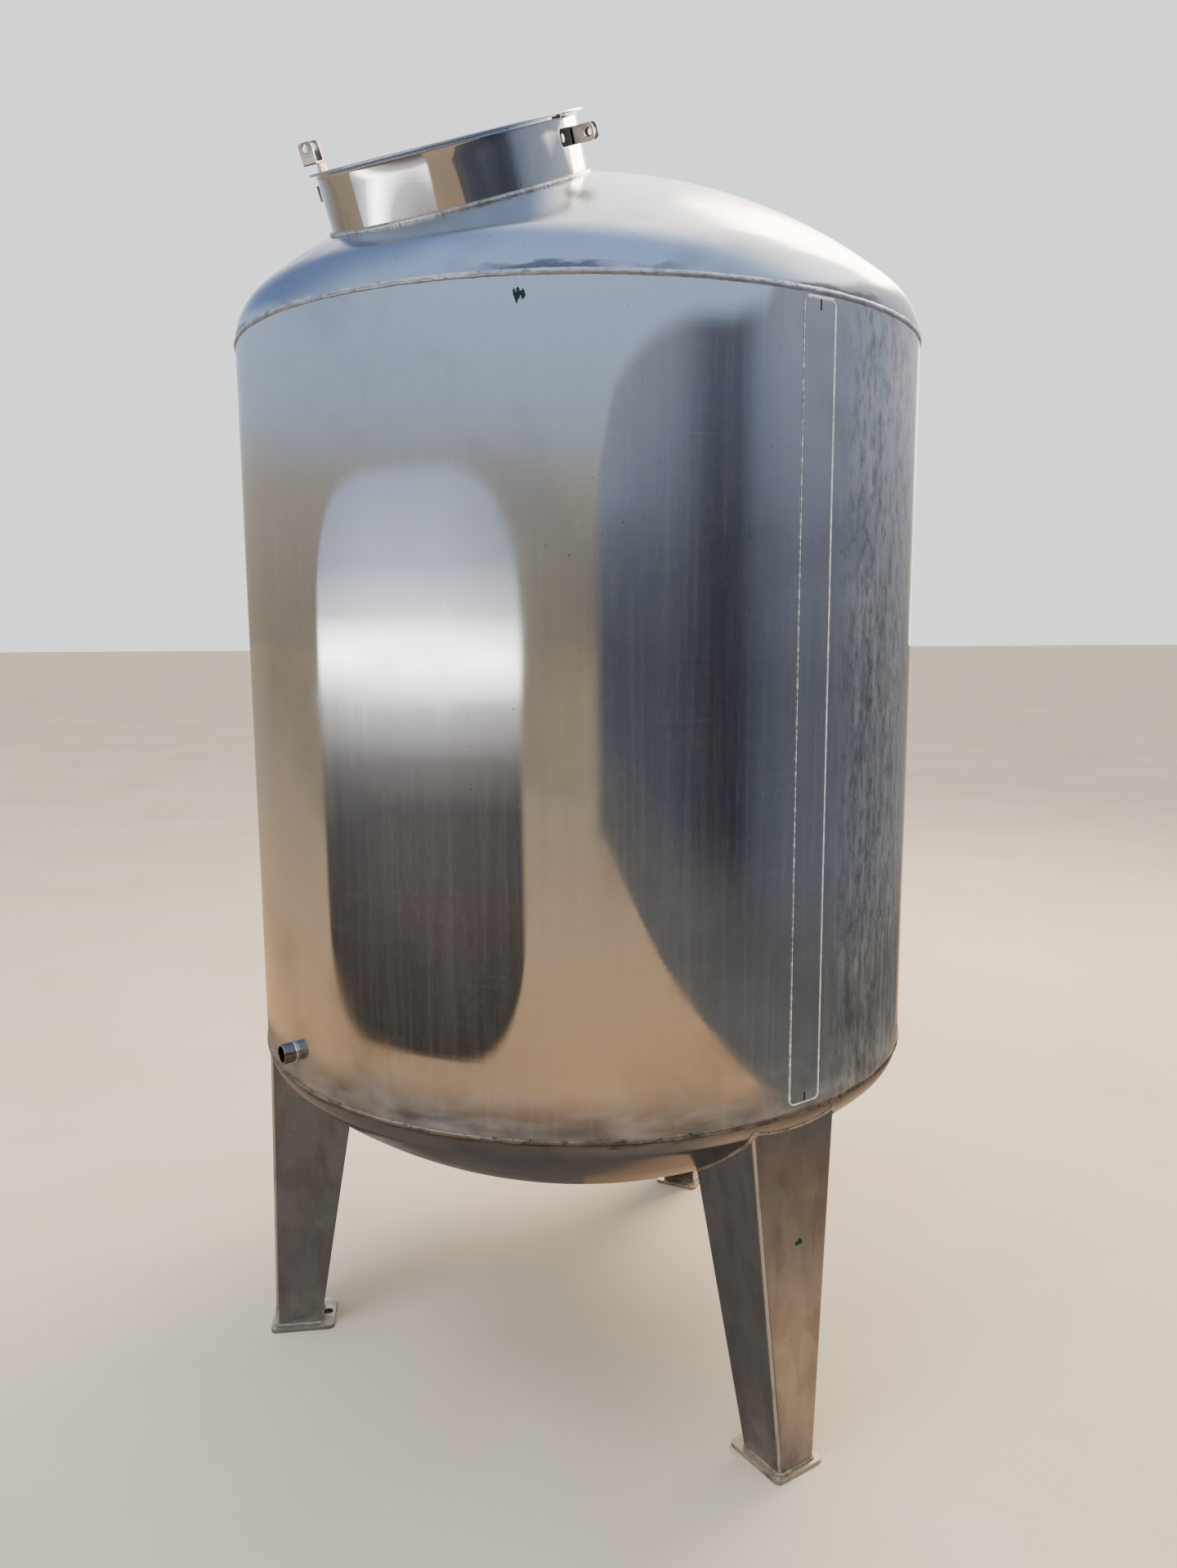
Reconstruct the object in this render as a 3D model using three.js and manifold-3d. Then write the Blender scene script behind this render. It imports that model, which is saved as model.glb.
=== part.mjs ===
// Vertical stainless storage tank on three folded plate legs.
//
// Millimetres, +Z up. The origin is on the tank's axis at floor level.
// Azimuths are measured from -Y towards +X, so azimuth 0 faces -Y.
import * as THREE from 'three';
import { mergeVertices } from 'three/addons/utils/BufferGeometryUtils.js';
import Module from 'manifold-3d';

const wasm = await Module();
wasm.setup();

// Round shell, rolled from one plate width.
const SHELL_RADIUS = 600;
const SHELL_WALL = 3;
const SHELL_BOTTOM = 612;
const SHELL_HEIGHT = 1220;
const SHELL_TOP = SHELL_BOTTOM + SHELL_HEIGHT;

// Dished heads: a crown arc that runs into a smaller knuckle arc.
const HEAD_WALL = 4;
const TOP_HEAD = { crown: 880, knuckle: 96 };
const BOTTOM_HEAD = { crown: 860, knuckle: 50 };

// Round parts share these steps, so that nested faces stay parallel.
const STEPS = 60;
const NECK_STEPS = 48;
const SMALL_STEPS = 20;
const CROWN_STEPS = 6;
const KNUCKLE_STEPS = 3;

// Running gap between pieces that touch.
const GAP = 0.3;

// Weld bead round each head.
const SEAM_BEAD = { width: 9, lift: 3 };

// Cover strip over the shell's upright joint.
const STRIP = { azimuth: 34.85, width: 60, bottom: 628, top: 1822, thickness: 1.7, corner: 14 };
const STRIP_WELD = { width: 4, lift: 2.3 };

// Manway neck, square to the crown, with a lip that flares outwards.
const NECK = { x: -186, y: -309, radius: 202, wall: 4, inside: -30, top: 62.5 };
const LIP = { radius: 213.5, bend: 6, edge: 1.6 };
const NECK_WELD = { foot: 8, rise: 7 };

// U clips for the cover's hinge and clamp.
const CLIP = { across: 26, plate: 4, depth: 24, reach: 33, holeRadius: 6, holeFromEnd: 9 };
const HINGE = { azimuth: 160, padStart: 150, padEnd: 185, padLow: 24, padHigh: 46, padPlate: 5 };
const HINGE_STEM = { inner: 217, outer: 223, width: 20, low: 28, high: 75.7 };
const HINGE_CLIP = { inner: 221, low: 76 };
const CLAMP_CLIP = { azimuth: -17, low: 17 };

// Drain pipe low on the shell.
const DRAIN = { azimuth: -53.4, z: 664, radius: 16.9, bore: 13.5, inner: 592, end: 622.5 };
const DRAIN_WELD = { radius: 19.6, rise: 3.4 };

// Folded channel legs: the web faces outwards, and two tapered flanges run in under the tank.
const LEGS = [
  { name: 'front_right', azimuth: 34 },
  { name: 'rear', azimuth: 154 },
  { name: 'left', azimuth: -83 },
];
const LEG = {
  plate: 4,
  bend: 8,
  high: 612,
  low: 8.3,
  webHighWidth: 179.5,
  webLowWidth: 75,
  webHighRadius: 591,
  webLowRadius: 613,
  flangeHighRadius: 424,
  flangeLowRadius: 527,
};
const LEG_WELD = { width: 4, height: 5 };

// Foot plates with one bolt hole on the tab inside the leg.
const FOOT = { outer: 622, inner: 502, width: 100, thickness: 8, corner: 10, holeRadius: 9, holeAt: 517 };
const FOOT_WELD = { width: 4, height: 4 };

const degrees = (angle) => (angle * Math.PI) / 180;

const mirrorSteel = new THREE.MeshStandardMaterial({ color: 0xb7bdc6, roughness: 0.08, metalness: 1 });
const satinSteel = new THREE.MeshStandardMaterial({ color: 0xa9b0b8, roughness: 0.26, metalness: 1 });
const millSteel = new THREE.MeshStandardMaterial({ color: 0x8f8b87, roughness: 0.38, metalness: 1 });
const weldSteel = new THREE.MeshStandardMaterial({ color: 0x7d7c7a, roughness: 0.5, metalness: 1 });

// Turns a closed geometry into a solid whose faces point out.
function solidOf(source) {
  const plain = source.clone();
  plain.deleteAttribute('normal');
  plain.deleteAttribute('uv');
  const geometry = mergeVertices(plain, 1e-3);
  const position = geometry.getAttribute('position');
  const index = geometry.getIndex().array;
  const triangles = [];
  const corners = [new THREE.Vector3(), new THREE.Vector3(), new THREE.Vector3()];
  let volume = 0;
  for (let i = 0; i < index.length; i += 3) {
    const [a, b, c] = [index[i], index[i + 1], index[i + 2]];
    if (a === b || b === c || c === a) continue;
    corners[0].fromBufferAttribute(position, a);
    corners[1].fromBufferAttribute(position, b);
    corners[2].fromBufferAttribute(position, c);
    volume += corners[0].dot(corners[1].clone().cross(corners[2]));
    triangles.push(a, b, c);
  }
  if (volume < 0) {
    for (let i = 0; i < triangles.length; i += 3) {
      [triangles[i], triangles[i + 1]] = [triangles[i + 1], triangles[i]];
    }
  }
  return new wasm.Manifold(
    new wasm.Mesh({
      numProp: 3,
      vertProperties: new Float32Array(position.array),
      triVerts: new Uint32Array(triangles),
    }),
  );
}

// Turns a solid back into a geometry.
function geometryOf(solid) {
  const data = solid.getMesh();
  const geometry = new THREE.BufferGeometry();
  geometry.setAttribute('position', new THREE.BufferAttribute(new Float32Array(data.vertProperties), 3));
  geometry.setIndex(new THREE.BufferAttribute(new Uint32Array(data.triVerts), 1));
  geometry.computeVertexNormals();
  return geometry;
}

const tank = new THREE.Group();

function addPiece(name, solid, material) {
  const mesh = new THREE.Mesh(geometryOf(solid), material);
  mesh.name = name;
  tank.add(mesh);
}

// Spins a closed outline of [radius, height] pairs about Z.
function revolve(outline, steps = STEPS) {
  const points = outline.map(([radius, height]) => new THREE.Vector2(radius, height));
  points.push(points[0].clone());
  return new THREE.LatheGeometry(points, steps).rotateX(Math.PI / 2);
}

// Points on an arc, from one angle to another, both ends included.
function arc(centre, radius, from, to, steps) {
  return Array.from({ length: steps + 1 }, (_, i) => {
    const angle = from + ((to - from) * i) / steps;
    return [centre[0] + radius * Math.cos(angle), centre[1] + radius * Math.sin(angle)];
  });
}

// Height of the crown's centre above the head's edge; it is negative, below the edge.
function crownCentre(head) {
  return -Math.sqrt((head.crown - head.knuckle) ** 2 - (SHELL_RADIUS - head.knuckle) ** 2);
}

// Outline of a head from its edge to its apex, moved outwards by an offset.
function headOutline(head, offset) {
  const low = crownCentre(head);
  const join = Math.atan2(-low, SHELL_RADIUS - head.knuckle);
  const knuckle = arc([SHELL_RADIUS - head.knuckle, 0], head.knuckle + offset, 0, join, KNUCKLE_STEPS);
  const crown = arc([0, low], head.crown + offset, join, Math.PI / 2, CROWN_STEPS);
  crown[crown.length - 1][0] = 0;
  return [...knuckle, ...crown.slice(1)];
}

// A head as a thin dome, with its open edge at the given height; direction 1 domes up, -1 down.
function headDome(head, edge, direction) {
  const place = ([radius, height]) => [radius, edge + direction * height];
  const outside = headOutline(head, 0).map(place);
  const inside = headOutline(head, -HEAD_WALL).map(place).reverse();
  return solidOf(revolve([...outside, ...inside]));
}

// The filled space inside a head's outer face, moved outwards by an offset, used to cut neighbours.
function headSpace(head, edge, direction, offset) {
  const place = ([radius, height]) => [radius, edge + direction * height];
  const outside = headOutline(head, offset).map(place);
  const back = edge - direction * 90;
  return solidOf(revolve([[0, back], [SHELL_RADIUS + offset, back], ...outside]));
}

// A tube between two heights.
function tube(outer, inner, low, high, steps = STEPS) {
  return solidOf(revolve([[inner, low], [outer, low], [outer, high], [inner, high]], steps));
}

// A rectangle with round corners, centred on x.
function roundedRectangle(width, low, high, corner) {
  const half = width / 2;
  const shape = new THREE.Shape();
  shape.moveTo(-half + corner, low);
  shape.lineTo(half - corner, low);
  shape.absarc(half - corner, low + corner, corner, -Math.PI / 2, 0, false);
  shape.lineTo(half, high - corner);
  shape.absarc(half - corner, high - corner, corner, 0, Math.PI / 2, false);
  shape.lineTo(-half + corner, high);
  shape.absarc(-half + corner, high - corner, corner, Math.PI / 2, Math.PI, false);
  shape.lineTo(-half, low + corner);
  shape.absarc(-half + corner, low + corner, corner, Math.PI, 1.5 * Math.PI, false);
  return shape;
}

function extrude(shape, depth, curveSegments = 5) {
  return new THREE.ExtrudeGeometry(shape, { depth, bevelEnabled: false, steps: 1, curveSegments });
}

function block(xLow, xHigh, yLow, yHigh, zLow, zHigh) {
  const box = new THREE.BoxGeometry(xHigh - xLow, yHigh - yLow, zHigh - zLow);
  return box.translate((xLow + xHigh) / 2, (yLow + yHigh) / 2, (zLow + zHigh) / 2);
}

// A pipe along -Y through a wall, turned to an azimuth.
function radialRevolve(outline, azimuth, z, steps = SMALL_STEPS) {
  const points = outline.map(([radius, reach]) => new THREE.Vector2(radius, -reach));
  points.push(points[0].clone());
  return new THREE.LatheGeometry(points, steps).translate(0, 0, z).rotateZ(degrees(azimuth));
}

function radialTube(outer, inner, from, to) {
  return solidOf(
    radialRevolve([[inner, from], [outer, from], [outer, to], [inner, to]], DRAIN.azimuth, DRAIN.z),
  );
}

const drainHole = solidOf(
  radialRevolve(
    [[0, 560], [DRAIN.radius + GAP, 560], [DRAIN.radius + GAP, 640], [0, 640]],
    DRAIN.azimuth,
    DRAIN.z,
  ),
);
const shellTube = tube(SHELL_RADIUS, SHELL_RADIUS - SHELL_WALL, SHELL_BOTTOM + GAP, SHELL_TOP - GAP);
addPiece('shell_wall', shellTube.subtract(drainHole), mirrorSteel);

function seamBead(height) {
  const inner = SHELL_RADIUS + GAP;
  const outer = SHELL_RADIUS + SEAM_BEAD.lift;
  const half = SEAM_BEAD.width / 2;
  return solidOf(
    revolve([
      [inner, height - half],
      [outer - 1, height - 0.7 * half],
      [outer, height],
      [outer - 1, height + 0.7 * half],
      [inner, height + half],
    ]),
  );
}
addPiece('top_seam_weld', seamBead(SHELL_TOP), weldSteel);
addPiece('bottom_seam_weld', seamBead(SHELL_BOTTOM), weldSteel);
addPiece('bottom_head', headDome(BOTTOM_HEAD, SHELL_BOTTOM, -1), satinSteel);

// The manway's frame stands on the crown, with local Z along the crown's normal.
const crownMiddle = new THREE.Vector3(0, 0, SHELL_TOP + crownCentre(TOP_HEAD));
const neckHeight = Math.sqrt(TOP_HEAD.crown ** 2 - NECK.x ** 2 - NECK.y ** 2);
const neckBase = crownMiddle.clone().add(new THREE.Vector3(NECK.x, NECK.y, neckHeight));
const neckAxis = neckBase.clone().sub(crownMiddle).normalize();
const neckRight = new THREE.Vector3(1, 0, 0).addScaledVector(neckAxis, -neckAxis.x).normalize();
const neckAway = neckAxis.clone().cross(neckRight);
const neckPlace = new THREE.Matrix4().makeBasis(neckRight, neckAway, neckAxis).setPosition(neckBase);

function onNeck(geometry, azimuth = 0) {
  return solidOf(geometry.clone().rotateZ(degrees(azimuth)).applyMatrix4(neckPlace));
}

const neckCut = onNeck(
  revolve([[0, -120], [NECK.radius + GAP, -120], [NECK.radius + GAP, 120], [0, 120]], NECK_STEPS),
);
addPiece('top_head', headDome(TOP_HEAD, SHELL_TOP, 1).subtract(neckCut), satinSteel);

const neckInner = NECK.radius - NECK.wall;
const bendCentre = [NECK.radius + LIP.bend, NECK.top - NECK.wall - LIP.bend];
const neckOutline = [
  [neckInner, NECK.inside],
  [NECK.radius, NECK.inside],
  ...arc(bendCentre, LIP.bend, Math.PI, Math.PI / 2, 3),
  [LIP.radius - LIP.edge, NECK.top - NECK.wall],
  [LIP.radius, NECK.top - NECK.wall + LIP.edge],
  [LIP.radius, NECK.top - LIP.edge],
  [LIP.radius - LIP.edge, NECK.top],
  ...arc(bendCentre, LIP.bend + NECK.wall, Math.PI / 2, Math.PI, 4),
];
addPiece('manway_neck', onNeck(revolve(neckOutline, NECK_STEPS)), mirrorSteel);

const neckDrop = TOP_HEAD.crown - Math.sqrt(TOP_HEAD.crown ** 2 - NECK.radius ** 2);
const neckBead = onNeck(
  revolve(
    [
      [NECK.radius + GAP, -neckDrop - 12],
      [NECK.radius + NECK_WELD.foot, -neckDrop - 12],
      [NECK.radius + NECK_WELD.foot, -neckDrop + 0.5],
      [NECK.radius + 0.6 * NECK_WELD.foot, -neckDrop + 0.6 * NECK_WELD.rise],
      [NECK.radius + GAP, -neckDrop + NECK_WELD.rise],
    ],
    NECK_STEPS,
  ),
);
addPiece('manway_neck_weld', neckBead.subtract(headSpace(TOP_HEAD, SHELL_TOP, 1, GAP)), weldSteel);

// A U clip: its back lies on X = 0, its two plates run along +X, and its holes run along Y.
function uClip() {
  const half = CLIP.across / 2;
  const outline = new THREE.Shape();
  outline.moveTo(0, -half);
  outline.lineTo(CLIP.reach, -half);
  outline.lineTo(CLIP.reach, -half + CLIP.plate);
  outline.lineTo(CLIP.plate, -half + CLIP.plate);
  outline.lineTo(CLIP.plate, half - CLIP.plate);
  outline.lineTo(CLIP.reach, half - CLIP.plate);
  outline.lineTo(CLIP.reach, half);
  outline.lineTo(0, half);
  const body = solidOf(extrude(outline, CLIP.depth));
  const hole = new THREE.CylinderGeometry(CLIP.holeRadius, CLIP.holeRadius, CLIP.across + 8, 20);
  hole.translate(CLIP.reach - CLIP.holeFromEnd, 0, CLIP.depth / 2);
  return geometryOf(body.subtract(solidOf(hole)));
}

// The clamp clip points outwards from the neck.
addPiece(
  'clamp_clip',
  onNeck(uClip().translate(NECK.radius + GAP, 0, CLAMP_CLIP.low), CLAMP_CLIP.azimuth),
  satinSteel,
);

// The hinge clip stands on a stem that clears the lip, from a pad on the neck.
const standingClip = uClip().rotateY(-Math.PI / 2);
standingClip.translate(HINGE_CLIP.inner + CLIP.depth, 0, HINGE_CLIP.low);
addPiece('hinge_clip', onNeck(standingClip, HINGE.azimuth), satinSteel);

const padRing = onNeck(
  revolve(
    [
      [NECK.radius + GAP, HINGE.padLow],
      [NECK.radius + HINGE.padPlate, HINGE.padLow],
      [NECK.radius + HINGE.padPlate, HINGE.padHigh],
      [NECK.radius + GAP, HINGE.padHigh],
    ],
    NECK_STEPS,
  ),
);
const sector = new THREE.Shape();
sector.moveTo(0, 0);
for (const angle of [HINGE.padStart, (HINGE.padStart + HINGE.padEnd) / 2, HINGE.padEnd]) {
  sector.lineTo(260 * Math.cos(degrees(angle)), 260 * Math.sin(degrees(angle)));
}
const padSector = onNeck(extrude(sector, 60));
const stemHalf = HINGE_STEM.width / 2;
const stem = onNeck(
  block(HINGE_STEM.inner, HINGE_STEM.outer, -stemHalf, stemHalf, HINGE_STEM.low, HINGE_STEM.high),
  HINGE.azimuth,
);
const stemFoot = onNeck(
  block(NECK.radius + 2, HINGE_STEM.outer - 1, -stemHalf, stemHalf, HINGE_STEM.low, HINGE.padHigh - 4),
  HINGE.azimuth,
);
addPiece('hinge_bracket', padRing.intersect(padSector).add(stemFoot).add(stem), satinSteel);

// Cover strip on the shell and the weld round it.
function stripPrism(grow) {
  const shape = roundedRectangle(
    STRIP.width + 2 * grow,
    STRIP.bottom - grow,
    STRIP.top + grow,
    STRIP.corner + grow,
  );
  const prism = extrude(shape, 90).rotateX(Math.PI / 2);
  return solidOf(prism.translate(0, -SHELL_RADIUS + 45, 0).rotateZ(degrees(STRIP.azimuth)));
}

function shellBand(thickness) {
  return tube(SHELL_RADIUS + thickness, SHELL_RADIUS + GAP, STRIP.bottom - 20, STRIP.top + 20);
}
addPiece('closure_strip', shellBand(STRIP.thickness + GAP).intersect(stripPrism(0)), mirrorSteel);
addPiece(
  'closure_strip_weld',
  shellBand(STRIP_WELD.lift).intersect(stripPrism(STRIP_WELD.width)).subtract(stripPrism(GAP)),
  weldSteel,
);

// The drain is one short open pipe through the wall, with a bead round it outside.
addPiece('drain_stub', radialTube(DRAIN.radius, DRAIN.bore, DRAIN.inner, DRAIN.end), mirrorSteel);
const drainWeld = solidOf(
  radialRevolve(
    [
      [DRAIN.radius + GAP, SHELL_RADIUS - 8],
      [DRAIN_WELD.radius, SHELL_RADIUS - 8],
      [DRAIN_WELD.radius, SHELL_RADIUS + 1],
      [DRAIN.radius + GAP, SHELL_RADIUS + DRAIN_WELD.rise],
    ],
    DRAIN.azimuth,
    DRAIN.z,
  ),
);
const shellSpace = solidOf(
  revolve([[0, 640], [SHELL_RADIUS + GAP, 640], [SHELL_RADIUS + GAP, 720], [0, 720]]),
);
addPiece('drain_base_weld', drainWeld.subtract(shellSpace), weldSteel);

// Each leg is built facing -Y and then turned to its azimuth.
const legSlope = (high, low, z) => low + ((high - low) * (z - LEG.low)) / (LEG.high - LEG.low);
const webWidth = (z) => legSlope(LEG.webHighWidth, LEG.webLowWidth, z);
const webRadius = (z) => legSlope(LEG.webHighRadius, LEG.webLowRadius, z);
const flangeRadius = (z) => legSlope(LEG.flangeHighRadius, LEG.flangeLowRadius, z);

// The channel's outer face as a path at its lowest section, moved outwards by an offset.
function channelPath(offset) {
  const half = LEG.webLowWidth / 2;
  const radius = LEG.bend + offset;
  const corner = [half - LEG.bend, -LEG.webLowRadius + LEG.bend];
  const right = arc(corner, radius, -Math.PI / 2, 0, 3);
  return [
    [-half - offset, -LEG.flangeLowRadius],
    ...right.map(([x, y]) => [-x, y]).reverse(),
    ...right,
    [half + offset, -LEG.flangeLowRadius],
  ];
}

function shapeBetween(outsidePath, insidePath) {
  const points = [...outsidePath, ...insidePath.slice().reverse()];
  return new THREE.Shape(points.map(([x, y]) => new THREE.Vector2(x, y)));
}

// Extrudes a channel section over the leg's height and spreads it into the leg's taper.
function taperedChannel(outer, inner, low, high) {
  const geometry = extrude(shapeBetween(channelPath(outer), channelPath(inner)), high - low);
  geometry.translate(0, 0, low);
  const position = geometry.getAttribute('position');
  const middle = -(LEG.flangeLowRadius + LEG.webLowRadius) / 2;
  for (let i = 0; i < position.count; i += 1) {
    const z = position.getZ(i);
    const spread = (webWidth(z) - LEG.webLowWidth) / 2;
    const x = position.getX(i);
    const y = position.getY(i);
    const isWeb = y < middle;
    const shift = isWeb ? webRadius(z) - LEG.webLowRadius : flangeRadius(z) - LEG.flangeLowRadius;
    position.setXY(i, x + Math.sign(x) * spread, y - shift);
  }
  return geometry;
}

const headGap = headSpace(BOTTOM_HEAD, SHELL_BOTTOM, -1, GAP);
const headWeldSpace = headSpace(BOTTOM_HEAD, SHELL_BOTTOM, -1, LEG_WELD.height);
const channelBlank = taperedChannel(0, -LEG.plate, LEG.low, LEG.high);
const weldBlank = taperedChannel(LEG_WELD.width, GAP, LEG.low, 604);
const footWeldBlank = taperedChannel(FOOT_WELD.width, GAP, LEG.low, LEG.low + FOOT_WELD.height);
const turned = (geometry, azimuth) => solidOf(geometry.clone().rotateZ(degrees(azimuth)));

function footShape() {
  const shape = roundedRectangle(FOOT.width, -FOOT.outer, -FOOT.inner, FOOT.corner);
  const hole = new THREE.Path();
  hole.absarc(0, -FOOT.holeAt, FOOT.holeRadius, 0, 2 * Math.PI, true);
  shape.holes.push(hole);
  return shape;
}

for (const { name, azimuth } of LEGS) {
  addPiece(`leg_${name}`, turned(channelBlank, azimuth).subtract(headGap), millSteel);
  addPiece(
    `leg_weld_${name}`,
    turned(weldBlank, azimuth).intersect(headWeldSpace).subtract(headGap),
    weldSteel,
  );
  addPiece(`foot_plate_${name}`, turned(extrude(footShape(), FOOT.thickness), azimuth), millSteel);
  addPiece(`foot_weld_${name}`, turned(footWeldBlank, azimuth), weldSteel);
}

export default tank;
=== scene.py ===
"""Looks of an upright stainless storage tank on three folded plate legs.

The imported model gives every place. The shell, the ends, the manway collar and the fittings are
modelled again with round, smooth forms, because polished steel shows every flat, and each piece
stands for the solid that it replaces. Lengths in the classes are millimetres.
"""

import logging
import math
from collections.abc import Callable, Sequence
from dataclasses import dataclass
from enum import Enum

import bmesh
import bpy
from mathutils import Matrix, Vector


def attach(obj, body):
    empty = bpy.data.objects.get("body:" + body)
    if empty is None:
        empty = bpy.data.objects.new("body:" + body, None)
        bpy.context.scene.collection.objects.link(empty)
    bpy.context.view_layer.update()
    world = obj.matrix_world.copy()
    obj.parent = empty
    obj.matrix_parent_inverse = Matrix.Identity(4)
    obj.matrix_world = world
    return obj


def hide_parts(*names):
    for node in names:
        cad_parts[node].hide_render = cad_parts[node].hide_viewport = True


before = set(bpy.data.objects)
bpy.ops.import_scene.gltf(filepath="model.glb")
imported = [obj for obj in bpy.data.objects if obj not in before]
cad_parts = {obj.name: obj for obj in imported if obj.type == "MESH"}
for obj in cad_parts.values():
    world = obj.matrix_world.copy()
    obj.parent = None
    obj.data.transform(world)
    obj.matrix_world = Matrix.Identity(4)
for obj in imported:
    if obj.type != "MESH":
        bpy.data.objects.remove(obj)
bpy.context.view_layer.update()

log = logging.getLogger("tank")

MM = 0.001
METRE = 1000.0

SHELL_RADIUS = 600.0
SHELL_FOOT = 612.0
SHELL_HEAD = 1832.0
ROUND_STEPS = 240

Flat = tuple[float, float]
Solid = tuple[float, float, float]
Colour = tuple[float, float, float, float]
Shade = tuple[float, str]
Edge = tuple[float, float, float]

# Numbers of the colour sockets that a Mix node has among its others.
MIX_UNDER, MIX_OVER, MIX_RESULT = 6, 7, 2


class Slot(Enum):
    """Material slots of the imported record."""

    MIRROR = "mirror_stainless"
    SATIN = "satin_stainless"
    BRACKET = "bracket_stainless"
    MILL = "mill_stainless"
    WELD = "weld_bead"


class LegSite(Enum):
    """Azimuth of each leg in degrees, from -Y towards +X."""

    front_right = 34.0
    rear = 154.0
    left = -83.0


class Part(Enum):
    """What a selection is made of."""

    VERTEX = "VERT"
    EDGE = "EDGE"


class Join(Enum):
    """How two meshes are put together."""

    CUT = "DIFFERENCE"
    WELD = "UNION"


def linear(colour: object) -> object:
    """Turns an sRGB hex colour into the linear one that the nodes take.

    Args:
        colour: Six hex digits, such as "8c9096", or a colour that is linear already.

    Returns:
        Red, green, blue and alpha, or the colour as it came.
    """
    if not isinstance(colour, str):
        return colour
    shares = [int(colour[i : i + 2], 16) / 255 for i in (0, 2, 4)]
    turned = [s / 12.92 if s <= 0.04045 else ((s + 0.055) / 1.055) ** 2.4 for s in shares]
    return (*turned, 1.0)


def grey(share: float) -> Colour:
    """Returns a linear grey for a mask's colour stop."""
    return (share, share, share, 1.0)


def deselect_all() -> None:
    """Leaves nothing selected, so that an operator acts on one new piece."""
    bpy.ops.object.select_all(action="DESELECT")


def metres(point: Sequence[float]) -> Vector:
    """Turns a point in millimetres into metres."""
    return Vector([part * MM for part in point])


def arc(centre: Flat, radius: float, start: float, end: float, steps: int) -> list[Flat]:
    """Lists points on an arc, both ends included.

    Args:
        centre: The arc's centre.
        radius: The arc's radius.
        start: First angle in radians.
        end: Last angle in radians.
        steps: Number of pieces that the arc is cut into.

    Returns:
        Pairs of coordinates.
    """
    angles = [start + (end - start) * i / steps for i in range(steps + 1)]
    return [(centre[0] + radius * math.cos(a), centre[1] + radius * math.sin(a)) for a in angles]


def level(start: Flat, end: Flat, pieces: int) -> list[Flat]:
    """Lists points on a straight line from start up to, but without, its end."""
    span = [i / pieces for i in range(pieces)]
    return [(start[0] + (end[0] - start[0]) * t, start[1] + (end[1] - start[1]) * t) for t in span]


def turn_to(azimuth: float) -> Matrix:
    """Returns the turn about Z that brings a piece from -Y to an azimuth in degrees."""
    return Matrix.Rotation(math.radians(azimuth), 4, "Z")


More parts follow.
